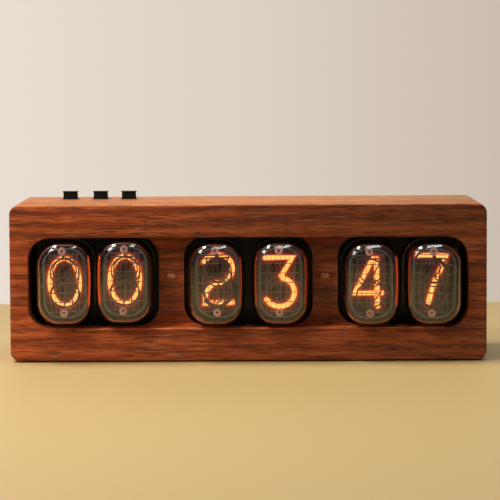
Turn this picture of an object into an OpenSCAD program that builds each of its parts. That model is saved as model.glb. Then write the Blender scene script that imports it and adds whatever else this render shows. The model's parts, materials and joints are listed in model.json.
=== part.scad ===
// Digit tube clock in a hardwood case.
//
// Frame: +Z is up, the front faces -Y, and +X is to the right as seen from the front.
// The origin is on the surface the feet stand on, under the middle of the whole clock.
// A depth is measured backwards (+Y) from the front face of the case.
// Across and up are measured from the middle of the case's front face.

/* [Case] */
// Wood beside the end windows, to the ends of the case
end_w = 7; // [6.5:0.5:30]
// Wood between neighbouring windows
bridge_w = 9.5; // [8:0.5:20]
// Wood above and below the windows
rail_h = 12.5; // [11.5:0.5:20]
// Radius of the four long edges
case_edge_r = 3.5; // [1:0.5:6]
// Thickness of the front wall
front_wall = 12; // [10:0.5:13]
// Depth of the channel that the bridges between the windows sit back in
channel_d = 9; // [4:0.5:9]
// Thickness of each side wall
side_wall = 6; // [4:0.5:6]
// Thickness of the top wall and of the bottom wall
flat_wall = 7; // [4:0.5:7]
// Corner radius of the hollow behind the front wall
cavity_r = 3; // [1:0.5:4]
// Gap between a window's ends and its tubes
window_side_gap = 2.3; // [1.5:0.1:4]
// Gap between the tubes and a window, above and below
window_end_gap = 1.5; // [1:0.1:3]
// Corner radius of each window
window_r = 8; // [4:0.5:12]

/* [Feet] */
// Radius of each foot pad
foot_r = 5; // [3:0.5:7]
// How far a foot pad stands out below the case
foot_proud = 0.5; // [0.3:0.1:2]
// Depth of the recess that holds a foot pad
foot_recess = 1; // [0.5:0.1:2]
// Distance of a foot pad's centre from the case's end
foot_end_inset = 14; // [10:1:30]
// Distance of a foot pad's centre from the front and rear faces
foot_face_inset = 10; // [8:1:20]

/* [Tubes] */
// Width of a glass tube's face
tube_w = 21; // [19:0.5:24]
// Height of a glass tube's face
tube_h = 31; // [28:0.5:36]
// Corner radius of the tube's outline
tube_r = 8.5; // [7.5:0.25:9.25]
// Radius of the rounded edge around the tube's face
tube_front_r = 3.4; // [2:0.1:3.6]
// Thickness of the glass
glass_t = 1; // [0.7:0.1:1.2]
// Length of a tube from its face to the back of its stem
tube_len = 28; // [25:0.5:32]
// How far a tube stands out of the front face
tube_proud = 6.5; // [4:0.5:8]
// Gap between the two tubes of a pair
tube_gap = 2.4; // [2:0.1:4]
// Thickness of the glass stem that closes a tube
stem_t = 2.5; // [1.5:0.1:3]
// Radius of the sealed-off tip behind the stem
tip_r = 2.4; // [1.5:0.1:3]
// Length of the sealed-off tip
tip_len = 4; // [2:0.5:5]
// Radius of a tube's pins
pin_r = 0.5; // [0.4:0.05:0.6]
// Length of the pins behind the stem
pin_len = 5.3; // [4:0.1:5.4]
// Distance of the pins' oval from the sides of the tube
pin_side_inset = 3.5; // [3:0.1:4]
// Distance of the pins' oval from the top and bottom of the tube
pin_end_inset = 4.3; // [3.5:0.1:5]
// Number of pins of one tube
pin_count = 12; // [6:1:12]

/* [Inside a tube] */
// Gap between the glass and the anode can, at the sides
anode_side_gap = 1.3; // [1.2:0.1:2]
// Gap between the glass and the anode can, above and below
anode_end_gap = 1.3; // [1.2:0.1:2]
// How much smaller the can's corner radius is than the glass's inner one
anode_corner = 1; // [0.5:0.1:2]
// Distance from the glass's outer face to the anode's mesh
anode_setback = 2.9; // [2.5:0.1:3.4]
// Thickness of the anode's sheet
anode_t = 0.25; // [0.2:0.05:0.35]
// Width of the rim around the mesh
anode_rim = 0.7; // [0.5:0.1:1]
// Width of one wire of the mesh
mesh_wire = 0.14; // [0.1:0.02:0.2]
// Distance between the upright wires of the mesh
mesh_pitch_x = 1.75; // [1.5:0.05:2.5]
// Distance between the level wires of the mesh
mesh_pitch_z = 3.6; // [3:0.1:4.5]
// Height of the zigzag wire at the foot of the mesh
zigzag_h = 2; // [1:0.1:3]
// Thickness of one cathode digit's sheet
digit_t = 0.28; // [0.2:0.02:0.4]
// Distance from one cathode digit to the next in the stack
digit_pitch = 0.95; // [0.8:0.05:1.1]
// Distance from the mesh to the first cathode digit
digit_setback = 1.1; // [0.8:0.1:1.3]
// Distance from the anode can's side to the middle of a digit's stroke
digit_side_gap = 2.8; // [2.4:0.1:3.5]
// Distance from a post to the middle of a digit's stroke, above and below
digit_end_gap = 2.6; // [2.4:0.1:3.5]
// Width of a digit's stroke
digit_stroke = 0.5; // [0.4:0.05:0.6]
// Width of the glowing digit's stroke
lit_stroke = 0.8; // [0.6:0.05:1]
// Distance of each post from the end of the anode can
post_inset = 1.6; // [1.5:0.1:2]
// How far the posts sit to the left of the can's middle
post_left = 0.6; // [0:0.1:1]
// Radius of a post
post_r = 0.8; // [0.6:0.05:0.8]
// Radius of the rivet head at the front of a post
post_head_r = 1.5; // [1.3:0.1:1.5]
// How far the rivet heads sit above the posts' axes
head_lift = 0.4; // [0:0.1:0.4]
// Thickness of the rivet head
post_head_t = 0.45; // [0.3:0.05:0.6]
// Gap between the can's wall and the eyelets that hold a digit on the posts
eyelet_gap = 0.15; // [0.1:0.05:0.2]

/* [Reading] */
// Digits that glow, one for each tube, from left to right
reading = "002347"; // 6

/* [Sockets and boards] */
// Thickness of a tube socket
socket_t = 6; // [5.8:0.1:6.5]
// How much smaller a socket's outline is than the tube's, all round
socket_inset = 0.5; // [0:0.1:1]
// Radius of a socket contact's sleeve
contact_r = 0.9; // [0.8:0.05:1]
// Radius of a contact's tail through the board
tail_r = 0.45; // [0.3:0.05:0.5]
// Length of a contact's tail
tail_len = 3.2; // [2:0.1:4]
// Thickness of the circuit boards
board_t = 1.6; // [1.2:0.2:2]
// Space between a board and each side wall
board_side_gap = 2; // [1:0.5:3]
// Space between a board and the top and bottom walls
board_edge_gap = 0.5; // [0.3:0.1:1]
// Space between the two boards
board_space = 10.3; // [8:0.1:14]
// Space between the rear board and the rear panel
rear_space = 16; // [14.5:0.1:30]

/* [Standoffs and screws] */
// Width of a hexagonal standoff across its flats
hex_af = 4.5; // [4:0.1:5]
// Distance of the end standoffs from the side walls
standoff_inset = 5.5; // [5:0.1:6]
// Distance of the standoffs from the top and bottom walls
standoff_gap = 0.5; // [0.3:0.1:1]
// Radius of the standoffs' studs and of the screws
thread_r = 1.25; // [1:0.05:1.3]
// Length of thread engaged in a standoff
thread_len = 5; // [3:0.5:5]
// Length of the front studs in the case's front wall
wall_stud_len = 6; // [4:0.5:8]
// Radius of a screw head
screw_head_r = 2.4; // [2:0.1:2.6]
// Height of a screw head
screw_head_t = 1.6; // [1:0.1:1.8]

/* [Light dots] */
// Width of a light dot
dot_w = 3.6; // [3:0.1:5]
// Height of a light dot
dot_h = 2; // [1.5:0.1:2.4]
// Height of a light dot above the windows' middle
dot_z = 1.8; // [0:0.1:8]
// Height of the light-emitting diode on the board
led_h = 2.2; // [1.8:0.1:3]
// Radius of the light-emitting diode
led_r = 1.5; // [1:0.1:1.6]

/* [Rear panel] */
// Thickness of the rear panel
panel_t = 3; // [2:0.1:3]
// How far the rear panel reaches over the case's walls
panel_lip = 2; // [1.5:0.1:2.4]
// Gap around the rear panel in its rebate
panel_gap = 0.3; // [0.1:0.1:0.6]
// Number of vent slots
vent_count = 11; // [3:2:15]
// Width of a vent slot
vent_w = 2.4; // [1.5:0.1:3]
// Length of a vent slot
vent_h = 20; // [10:1:26]
// Distance between the vent slots
vent_pitch = 5.5; // [5:0.1:6]

/* [Power inlet] */
// Distance of the inlet from the right end of the case
jack_inset = 28; // [24:1:32]
// Height of the inlet against the case's middle
jack_z = -10; // [-12:1:-8]
// Width of the inlet's square body
jack_body_w = 9.4; // [9:0.1:10]
// Radius of the inlet's round mouth, outside
jack_mouth_r = 4; // [3.8:0.1:4.4]
// Radius of the inlet's bore
jack_bore_r = 3.2; // [3.1:0.05:3.4]
// Depth of the inlet's bore
jack_bore_len = 10; // [8:0.5:11]
// Radius of the centre pin
jack_pin_r = 1; // [0.8:0.05:1.25]
// Distance of the centre pin's end below the mouth
jack_pin_recess = 2; // [1:0.5:3]
// Radius of the thick root of the centre pin
jack_root_r = 1.4; // [1.3:0.1:1.8]
// Length of the thick root of the centre pin
jack_root_len = 4; // [2:0.5:5]

/* [Buttons] */
// Distance of each button from the left end of the case
button_inset = [20.1, 32, 43.1];
// Width of a button cap
cap_w = 6; // [5:0.1:7]
// How far a cap stands out of the top
cap_proud = 3; // [2:0.1:5]
// Travel of a button
button_travel = 1.5; // [0.5:0.1:1.8]
// How far the cap's flange reaches past its sides
cap_flange = 1.2; // [0.8:0.1:1.4]
// Thickness of the cap's flange
cap_flange_t = 1.2; // [0.8:0.1:1.5]
// Depth of the dish in a cap's top
cap_dish = 0.35; // [0.1:0.05:0.5]
// Radius of a switch plunger
plunger_r = 1.5; // [1.2:0.1:1.8]
// Height of a switch body
switch_h = 6; // [5:0.1:7]
// Depth of a switch body behind the board
switch_d = 6.6; // [6.4:0.1:7]
// Thickness of a switch body's floor
switch_floor = 1.2; // [1:0.1:1.5]

/* [Electronics] */
// Length of a driver chip
chip_len = 19.5; // [18:0.5:20]
// Width of a driver chip
chip_w = 6.4; // [6:0.1:7]
// Height of a chip above its board
chip_h = 3.8; // [3:0.1:4.5]
// Distance between the legs of a chip
chip_leg_pitch = 2.3; // [2:0.1:2.4]
// Length of the microcontroller
controller_len = 35; // [30:0.5:36]
// Number of legs on each side of the microcontroller
controller_legs = 14; // [10:1:14]
// Radius of the coin cell
cell_r = 10; // [8:0.5:11]
// Thickness of the coin cell
cell_t = 3.2; // [2:0.1:4]
// Distance of the coin cell from the left end of the case
cell_inset = 51; // [48:1:58]
// Height of the coin cell against the case's middle
cell_z = -6; // [-8:1:-4]
// Radius of the buzzer
buzzer_r = 6; // [4.5:0.5:6.5]
// Height of the buzzer
buzzer_h = 8.5; // [6:0.5:10]
// Distance of the buzzer from the left end of the case
buzzer_inset = 26; // [20:1:28]
// Height of the buzzer against the case's middle
buzzer_z = -7; // [-10:1:0]
// Radius of the inductor
coil_r = 5; // [4:0.5:6]
// Height of the inductor
coil_h = 8; // [6:0.5:10]
// Distance of the inductor from the right end of the case
coil_inset = 57; // [50:1:60]
// Height of the inductor against the case's middle
coil_z = 9; // [8:1:12]
// Radius of the capacitor
capacitor_r = 5; // [4:0.5:5.5]
// Height of the capacitor
capacitor_h = 12; // [10:0.5:14]
// Distance of the capacitor from the right end of the case
capacitor_inset = 45; // [42:1:48]
// Height of the capacitor against the case's middle
capacitor_z = -9; // [-12:1:-6]
// Width of the transistor
transistor_w = 10; // [9:0.5:10.5]
// Height of the transistor above the board
transistor_h = 14; // [12:0.5:15]
// Distance of the transistor from the right end of the case
transistor_inset = 60; // [57:1:62]
// Height of the transistor against the case's middle
transistor_z = -9; // [-12:1:-6]

/* [Clearances] */
// Gap around a moving cap and a plunger
move_gap = 0.3; // [0.2:0.05:0.5]
// Gap around a pin, post or stud in its hole
fit_gap = 0.05; // [0.02:0.01:0.1]
// Gap around a screw or stud in a board or panel
hole_gap = 0.1; // [0.05:0.05:0.3]

/* [Hidden] */
TUBES = [1, 2, 3, 4, 5, 6];
$fn = 48;

// Order of the digits in the stack, front to back
STACK = "3894057261";
// How far each hand-set tube stands off its even place, across and up
TUBE_SHIFT = [[1, 0], [0.15, 0.5], [-0.5, -0.3], [0.45, -0.2], [-0.4, -0.5], [-0.3, -0.5]];
// How far each tube's inner works sit off the middle of its glass, across and up
CORE_SHIFT = [[0.15, 0.35], [0.35, 0.5], [0.7, 0.6], [0.05, 0.45], [-0.2, 0.2], [0, 0.2]];
// Turn of each tube's inner works, clockwise as seen from the front, in degrees
CORE_TURN = [-1.6, 1.2, -1.8, -0.5, -0.6, 1.7];

// Parts of a tube
anode_w = tube_w - 2 * (glass_t + anode_side_gap);
anode_h = tube_h - 2 * (glass_t + anode_end_gap);
anode_r = tube_r - glass_t - anode_corner;
post_z = anode_h / 2 - post_inset;
eyelet_r = post_inset - anode_t - eyelet_gap;
digit_w = anode_w - 2 * digit_side_gap;
digit_h = 2 * (post_z - digit_end_gap);
pin_oval_x = tube_w / 2 - pin_side_inset;
pin_oval_z = tube_h / 2 - pin_end_inset;
socket_w = tube_w - 2 * socket_inset;
socket_h = tube_h - 2 * socket_inset;
socket_r = tube_r - socket_inset;
tube_pitch = tube_w + tube_gap;

// Windows around the tubes
window_w = tube_pitch + tube_w + 2 * window_side_gap;
window_h = tube_h + 2 * window_end_gap;
window_pitch = window_w + bridge_w;

// Depths, front to back
stem_d = tube_len - tube_proud - stem_t;
socket_d = tube_len - tube_proud;
tube_board_d = socket_d + socket_t;
main_board_d = tube_board_d + board_t + board_space;
main_rear_d = main_board_d + board_t;
panel_d = main_rear_d + rear_space;
anode_d = anode_setback - tube_proud;
stack_d = anode_d + digit_setback;
anode_len = digit_setback + len(STACK) * digit_pitch + 1;

// The case around all that
channel_w = 2 * window_pitch + window_w;
case_w = channel_w + 2 * end_w;
case_h = window_h + 2 * rail_h;
case_d = panel_d + panel_t;

// Heights and the front face in the frame
front_y = (tube_proud - case_d) / 2;
mid_z = foot_proud + case_h / 2;
top_z = foot_proud + case_h;

// The hollow
cavity_w = case_w - 2 * side_wall;
cavity_h = case_h - 2 * flat_wall;
ceiling_z = top_z - flat_wall;

// Boards and standoffs
board_w = cavity_w - 2 * board_side_gap;
board_h = cavity_h - 2 * board_edge_gap;
standoff_x = cavity_w / 2 - standoff_inset;
standoff_z = cavity_h / 2 - standoff_gap - hex_af / 2;
hex_r = hex_af / sqrt(3);

// Buttons
button_x = [for (inset = button_inset) inset - case_w / 2];
cap_top_z = top_z + cap_proud;
button_d = main_rear_d + move_gap + cap_w / 2;
flange_top_z = ceiling_z - move_gap;
flange_z = flange_top_z - cap_flange_t;
switch_top_z = flange_z - button_travel - move_gap;
switch_z = switch_top_z - switch_h;
cap_socket_z = ceiling_z + flat_wall / 4;
plunger_z = switch_z + switch_floor + move_gap + button_travel;
dish_r = (cap_w * cap_w / 4 + cap_dish * cap_dish) / (2 * cap_dish);

// Power inlet
jack_x = case_w / 2 - jack_inset;
jack_mouth_d = case_d - 0.5;
jack_bore_d = jack_mouth_d - jack_bore_len;
jack_pin_end_d = jack_mouth_d - jack_pin_recess;

// Places on the rear board, across and up
cell_at = [cell_inset - case_w / 2, cell_z];
buzzer_at = [buzzer_inset - case_w / 2, buzzer_z];
coil_at = [case_w / 2 - coil_inset, coil_z];
capacitor_at = [case_w / 2 - capacitor_inset, capacitor_z];
transistor_at = [case_w / 2 - transistor_inset, transistor_z];

// Small shapes of the electronics
leg_w = 0.5;
leg_t = 0.3;
chip_lift = 0.5;
holder_wall = 1.5;
holder_floor = 1;
header_w = 5;
header_h = 30;
tab_t = 1.3;
pin_sink = 0.2;
socket_hole_r = tip_r + 0.6;
arc_step = 10;
mitre_limit = 0.4;
overcut = 1;

// Centre of a tube, of a post and of a rivet head, across and up
function tube_at(n) =
    TUBE_SHIFT[n - 1] + [(floor((n - 1) / 2) - 1) * window_pitch + ((n - 1) % 2 - 0.5) * tube_pitch, 0];
function post_at(s) = [-post_left, s * post_z];
function head_at(s) = post_at(s) + [0, head_lift];
function lit_digit(n) = ord(reading[n - 1]) - ord("0");
function stack_place(digit) = search(str(digit), STACK)[0];
function pin_at(i) = [
    pin_oval_x * cos((i + 0.5) * 360 / pin_count),
    pin_oval_z * sin((i + 0.5) * 360 / pin_count)
];

// Places of the standoffs, across and up; the first four are at the corners
standoff_places = [
    [-standoff_x, -standoff_z], [standoff_x, -standoff_z],
    [-standoff_x, standoff_z], [standoff_x, standoff_z],
    [0, -standoff_z], [0, standoff_z]
];
corner_places = [for (i = [0:3]) standoff_places[i]];
middle_places = [for (i = [4:5]) standoff_places[i]];

// Points of an elliptical arc around c, from angle a to angle b
function arc(c, r, a, b) =
    let (steps = ceil(abs(b - a) / arc_step))
    [for (i = [0:steps]) let (t = a + (b - a) * i / steps) [c[0] + r[0] * cos(t), c[1] + r[1] * sin(t)]];
// The same all the way round, with no point twice
function loop(c, r) =
    [for (t = [0:arc_step:360 - arc_step]) [c[0] + r[0] * cos(t), c[1] + r[1] * sin(t)]];

// Direction of a path at one of its points, and how far its corner reaches out
function unit(v) = v / norm(v);
function heading(p, i) =
    i == 0 ? unit(p[1] - p[0])
    : i == len(p) - 1 ? unit(p[i] - p[i - 1])
    : unit(unit(p[i] - p[i - 1]) + unit(p[i + 1] - p[i]));
function mitre(p, i) =
    i == 0 || i == len(p) - 1 ? 1 : 1 / max(mitre_limit, heading(p, i) * unit(p[i + 1] - p[i]));
function beside(p, i, s) =
    let (h = heading(p, i)) p[i] + s * mitre(p, i) * [-h[1], h[0]];

// Open strokes of each digit, in a box from about -1 to 1 each way
function strokes() = [
    [],
    [[[-0.3, 0.75], [0, 1], [0, -1]]],
    [concat(arc([0, 0.53], [1.06, 0.58], 150, -42), arc([0.05, -0.72], [0.97, 0.64], 80, 185),
        [[-0.95, -0.93], [0.98, -0.93]])],
    [concat([[-1.07, 1.03], [0.84, 1.03], [0.05, 0.28]], arc([-0.09, -0.42], [1.04, 0.6], 78, -150))],
    [[[0.78, -0.44], [-1.14, -0.44], [0.16, 1], [0.41, 1]], [[0.41, 1], [0.45, -1]]],
    [concat([[0.85, 1], [-0.75, 1], [-0.85, 0.04]], arc([0, -0.37], [1, 0.63], 122, -150))],
    [arc([0.95, -0.42], [1.95, 1.45], 180, 115)],
    [[[-1.24, 1.1], [0.86, 1.1], [0.48, 0.5], [0.18, 0.1], [-0.05, -0.3], [-0.3, -0.95]]],
    [],
    [arc([-0.95, 0.42], [1.95, 1.45], 0, -65)]
];
// Closed loops of each digit: centre and radii
function loops() = [
    [[[-0.06, 0], [1.03, 1]]], [], [], [], [], [],
    [[[0, -0.42], [1, 0.58]]],
    [],
    [[[0, 0.515], [0.82, 0.485]], [[0, -0.485], [1, 0.515]]],
    [[[0, 0.42], [1, 0.58]]]
];
// Where a digit's upper and lower tabs meet its stroke
function tabs() = [
    [[-0.06, 1], [-0.06, -1]], [[0, 1], [0, -1]], [[0, 1.11], [0, -0.93]], [[-0.09, 1.03], [-0.09, -1.02]],
    [[0.16, 1], [0.45, -1]], [[0, 1], [0, -1]], [[0.13, 0.89], [0, -1]], [[-0.11, 1.1], [-0.3, -0.95]],
    [[0, 1], [0, -1]], [[0, 1], [-0.13, -0.89]]
];

// Sheet or block: a flat outline (across, up), from a depth backwards
module slab(d, t) {
    translate([0, front_y + d + t, mid_z])
        rotate([90, 0, 0])
            linear_extrude(t)
                children();
}

// Round bar along the depth
module bar(at, d, len, r) {
    translate([at[0], front_y + d, mid_z + at[1]])
        rotate([-90, 0, 0])
            cylinder(h = len, r = r);
}

// Hexagonal bar along the depth
module hex_bar(at, d, len) {
    translate([at[0], front_y + d, mid_z + at[1]])
        rotate([-90, 0, 0])
            cylinder(h = len, r = hex_r, $fn = 6);
}

module round_rect(w, h, r) {
    square([w - 2 * r, h], center = true);
    square([w, h - 2 * r], center = true);
    for (x = [-1, 1], z = [-1, 1])
        translate([x * (w / 2 - r), z * (h / 2 - r)])
            circle(r);
}

// Half of the section of a rounded block, with its upper outer edge rounded
module edge_section(r, f, len) {
    square([r, len - f]);
    square([r - f, len]);
    translate([r - f, len - f])
        circle(f);
}

// Block with a rounded outline and a rounded upper edge, standing on z = 0
module pebble(w, h, r, f, len) {
    x = w / 2 - r;
    y = h / 2 - r;
    translate([-x, -y, 0])
        cube([2 * x, 2 * y, len]);
    for (s = [0, 1])
        mirror([s, 0, 0])
            translate([x, y, 0])
                rotate([90, 0, 0])
                    linear_extrude(2 * y)
                        edge_section(r, f, len);
    for (s = [0, 1])
        mirror([0, s, 0])
            translate([-x, y, 0])
                rotate([90, 0, 90])
                    linear_extrude(2 * x)
                        edge_section(r, f, len);
    for (s = [0, 1], t = [0, 1])
        mirror([s, 0, 0])
            mirror([0, t, 0])
                translate([x, y, 0])
                    rotate_extrude(angle = 90)
                        edge_section(r, f, len);
}

// Case and what closes it

module case() {
    color("sienna")
    difference() {
        slab(0, case_d)
            round_rect(case_w, case_h, case_edge_r);
        slab(front_wall, case_d)
            round_rect(cavity_w, cavity_h, cavity_r);
        slab(panel_d, case_d)
            round_rect(cavity_w + 2 * panel_lip, cavity_h + 2 * panel_lip, cavity_r + panel_lip);
        slab(-overcut, channel_d + overcut)
            round_rect(channel_w, window_h, window_r);
        for (i = [-1:1])
            translate([i * window_pitch, 0, 0])
                slab(channel_d - overcut, front_wall - channel_d + 2 * overcut)
                    round_rect(window_w, window_h, window_r);
        light_dot_shapes(channel_d - overcut, front_wall - channel_d + 2 * overcut, fit_gap);
        for (p = standoff_places)
            bar(p, front_wall - wall_stud_len - fit_gap, wall_stud_len + overcut, thread_r + fit_gap);
        for (x = button_x)
            button_block(x, cap_w + 2 * move_gap, cap_w + 2 * move_gap, ceiling_z - overcut, top_z + overcut);
        foot_shapes(overcut, foot_recess, foot_r + fit_gap);
    }
}

// Square column at a button's place, between two heights
module button_block(x, w, d, z0, z1) {
    translate([x - w / 2, front_y + button_d - d / 2, z0])
        cube([w, d, z1 - z0]);
}

module light_dot_shapes(d, len, gap) {
    r = dot_h / 2 + gap;
    for (s = [-1, 1])
        translate([s * window_pitch / 2, 0, dot_z])
            slab(d, len) {
                square([dot_w - dot_h, 2 * r], center = true);
                for (e = [-1, 1])
                    translate([e * (dot_w - dot_h) / 2, 0])
                        circle(r);
            }
}

// Discs at the four feet, from below the case's underside up into it
module foot_shapes(below, above, r) {
    for (sx = [-1, 1], y = [foot_face_inset, case_d - foot_face_inset])
        translate([sx * (case_w / 2 - foot_end_inset), front_y + y, foot_proud - below])
            cylinder(h = below + above, r = r);
}

module foot_pads() {
    color("dimgray")
    foot_shapes(foot_proud, foot_recess, foot_r);
}

module light_pipes() {
    color("wheat")
    light_dot_shapes(channel_d, tube_board_d - led_h - fit_gap - channel_d, 0);
}

module back_panel() {
    color("black")
    difference() {
        slab(panel_d, panel_t)
            round_rect(
                cavity_w + 2 * (panel_lip - panel_gap),
                cavity_h + 2 * (panel_lip - panel_gap),
                cavity_r + panel_lip - panel_gap
            );
        for (i = [0:vent_count - 1])
            translate([(i - (vent_count - 1) / 2) * vent_pitch, 0, 0])
                slab(panel_d - overcut, panel_t + 2 * overcut)
                    round_rect(vent_w, vent_h, vent_w / 2 - 0.01);
        bar([jack_x, jack_z], panel_d - overcut, panel_t + 2 * overcut, jack_mouth_r + hole_gap);
        for (p = corner_places) {
            bar(p, panel_d - overcut, panel_t + 2 * overcut, thread_r + hole_gap);
            sunk_head(p, hole_gap, overcut);
        }
    }
}

// Countersunk head flush with the rear face, grown by a gap, with a stretch past the face
module sunk_head(at, gap, past) {
    translate([at[0], front_y + case_d, mid_z + at[1]])
        rotate([90, 0, 0])
            rotate_extrude()
                polygon([
                    [0, -past],
                    [screw_head_r + gap, -past],
                    [screw_head_r + gap, 0],
                    [thread_r + gap, screw_head_t],
                    [0, screw_head_t]
                ]);
}

module back_panel_screws() {
    color("gray")
    for (p = corner_places)
        difference() {
            union() {
                sunk_head(p, 0, 0);
                bar(p, panel_d - thread_len, thread_len + panel_t - screw_head_t / 2, thread_r);
            }
            hex_recess(p, case_d);
        }
}

// Drive recess that opens backwards at a depth
module hex_recess(at, d) {
    translate([at[0], front_y + d - screw_head_t / 2, mid_z + at[1]])
        rotate([-90, 0, 0])
            cylinder(h = screw_head_t, r = screw_head_r * 0.4, $fn = 6);
}

// Tubes

// Puts what is drawn around the case's middle axis on a tube's axis
module at_tube(n) {
    translate([tube_at(n)[0], 0, tube_at(n)[1]])
        children();
}

// The same for a tube's inner works
module at_core(n) {
    at_tube(n)
        translate([CORE_SHIFT[n - 1][0], 0, CORE_SHIFT[n - 1][1] + mid_z])
            rotate([0, CORE_TURN[n - 1], 0])
                translate([0, 0, -mid_z])
                    children();
}

module envelope(n) {
    color("lightgray", 0.3)
    at_tube(n)
        translate([0, front_y + stem_d, mid_z])
            rotate([90, 0, 0])
                difference() {
                    pebble(tube_w, tube_h, tube_r, tube_front_r, tube_len - stem_t);
                    translate([0, 0, -overcut])
                        pebble(
                            tube_w - 2 * glass_t,
                            tube_h - 2 * glass_t,
                            tube_r - glass_t,
                            tube_front_r - glass_t,
                            tube_len - stem_t - glass_t + overcut
                        );
                }
}

module tube_stems() {
    color("lightgray", 0.4)
    for (n = TUBES)
        at_tube(n)
            difference() {
                union() {
                    slab(stem_d, stem_t)
                        round_rect(tube_w, tube_h, tube_r);
                    bar([0, 0], stem_d, stem_t + tip_len, tip_r);
                }
                for (i = [0:pin_count - 1])
                    bar(pin_at(i), stem_d - overcut, stem_t + 2 * overcut, pin_r + fit_gap);
            }
}

module tube_pins() {
    color("silver")
    for (n = TUBES, i = [0:pin_count - 1])
        bar(tube_at(n) + pin_at(i), stem_d + pin_sink, stem_t - pin_sink + pin_len, pin_r);
}

module tube_posts() {
    color("rosybrown")
    for (n = TUBES, s = [-1, 1])
        at_core(n) {
            bar(head_at(s), anode_d - post_head_t, post_head_t, post_head_r);
            bar(post_at(s), anode_d - post_head_t, stem_d - anode_d + post_head_t, post_r);
        }
}

// Stroke of even width along a path
module stroke(p, w) {
    polygon(concat(
        [for (i = [0:len(p) - 1]) beside(p, i, -w / 2)],
        [for (i = [len(p) - 1:-1:0]) beside(p, i, w / 2)]
    ));
}

module digit_outline(n, w) {
    half = [digit_w / 2, digit_h / 2];
    for (path = strokes()[n])
        stroke([for (p = path) [p[0] * half[0], p[1] * half[1]]], w);
    for (l = loops()[n])
        let (c = [l[0][0] * half[0], l[0][1] * half[1]], r = [l[1][0] * half[0], l[1][1] * half[1]])
            difference() {
                polygon(loop(c, r + [w, w] / 2));
                polygon(loop(c, r - [w, w] / 2));
            }
}

// One digit of the stack with its two eyelets, at its own depth
module digit_sheet(n, digit, w) {
    at_core(n)
        slab(stack_d + stack_place(digit) * digit_pitch, digit_t)
            difference() {
                union() {
                    digit_outline(digit, w);
                    for (e = [0, 1])
                        let (s = 1 - 2 * e, t = tabs()[digit][e]) {
                            stroke([post_at(s), [t[0] * digit_w / 2, t[1] * digit_h / 2]], digit_stroke);
                            translate(post_at(s))
                                circle(eyelet_r);
                        }
                }
                for (s = [-1, 1])
                    translate(post_at(s))
                        circle(post_r + fit_gap);
            }
}

module cathodes(n) {
    color("darkgray")
    for (digit = [0:9])
        if (digit != lit_digit(n))
            digit_sheet(n, digit, digit_stroke);
}

module lit_digit_sheet(n) {
    color("orange")
    digit_sheet(n, lit_digit(n), lit_stroke);
}

module mesh_wires() {
    nx = floor(anode_w / mesh_pitch_x / 2);
    nz = floor(anode_h / mesh_pitch_z / 2);
    steps = 2 * floor(anode_w / mesh_pitch_x / 2);
    for (i = [-nx:nx])
        translate([i * mesh_pitch_x, 0])
            square([mesh_wire, anode_h], center = true);
    for (i = [-nz:nz])
        translate([0, i * mesh_pitch_z])
            square([anode_w, mesh_wire], center = true);
    stroke(
        [for (i = [0:steps]) [(i / steps - 0.5) * anode_w, -post_z + (i % 2) * zigzag_h]],
        mesh_wire
    );
}

module anode(n) {
    color("slategray")
    at_core(n) {
        slab(anode_d, anode_t)
            difference() {
                union() {
                    difference() {
                        round_rect(anode_w, anode_h, anode_r);
                        round_rect(anode_w - 2 * anode_rim, anode_h - 2 * anode_rim, anode_r - anode_rim);
                    }
                    intersection() {
                        mesh_wires();
                        round_rect(anode_w - anode_rim, anode_h - anode_rim, anode_r - anode_rim / 2);
                    }
                    for (s = [-1, 1])
                        translate(head_at(s))
                            circle(post_head_r);
                }
                for (s = [-1, 1])
                    translate(post_at(s))
                        circle(post_r + fit_gap);
            }
        slab(anode_d, anode_len)
            difference() {
                round_rect(anode_w, anode_h, anode_r);
                round_rect(anode_w - 2 * anode_t, anode_h - 2 * anode_t, anode_r - anode_t);
            }
        slab(anode_d + anode_len - anode_t, anode_t)
            difference() {
                round_rect(anode_w, anode_h, anode_r);
                for (s = [-1, 1])
                    translate(post_at(s))
                        circle(post_r + fit_gap);
            }
    }
}

// Sockets and the tube board

module tube_sockets() {
    color("dimgray")
    for (n = TUBES)
        at_tube(n)
            difference() {
                slab(socket_d, socket_t)
                    round_rect(socket_w, socket_h, socket_r);
                bar([0, 0], socket_d - overcut, socket_t + 2 * overcut, socket_hole_r);
                for (i = [0:pin_count - 1])
                    bar(pin_at(i), socket_d - overcut, socket_t + 2 * overcut, contact_r + fit_gap);
            }
}

module socket_contacts() {
    color("goldenrod")
    for (n = TUBES, i = [0:pin_count - 1])
        let (at = tube_at(n) + pin_at(i))
            difference() {
                union() {
                    bar(at, socket_d + contact_r, socket_t - contact_r, contact_r);
                    bar(at, tube_board_d - tail_r, tail_len + tail_r, tail_r);
                }
                bar(at, socket_d, pin_len + fit_gap, pin_r + fit_gap);
            }
}

// A board's plate with the standoffs' holes
module board_plate(d) {
    difference() {
        slab(d, board_t)
            square([board_w, board_h], center = true);
        for (p = standoff_places)
            bar(p, d - overcut, board_t + 2 * overcut, thread_r + hole_gap);
    }
}

module tube_board() {
    color("darkslategray")
    difference() {
        board_plate(tube_board_d);
        for (n = TUBES, i = [0:pin_count - 1])
            bar(tube_at(n) + pin_at(i), tube_board_d - overcut, board_t + 2 * overcut, tail_r + hole_gap);
    }
}

module separator_leds() {
    color("ivory")
    for (s = [-1, 1]) {
        bar([s * window_pitch / 2, dot_z], tube_board_d - led_h, led_h, led_r);
        bar([s * window_pitch / 2, dot_z], tube_board_d - led_h / 3, led_h / 3, led_r * 1.2);
    }
}

// Standoffs

module standoff(at, d0, d1, stud_len) {
    difference() {
        union() {
            hex_bar(at, d0, d1 - d0);
            bar(at, d0 - stud_len, stud_len + thread_r, thread_r);
        }
        bar(at, d1 - thread_len - hole_gap, thread_len + overcut, thread_r + fit_gap);
    }
}

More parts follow.
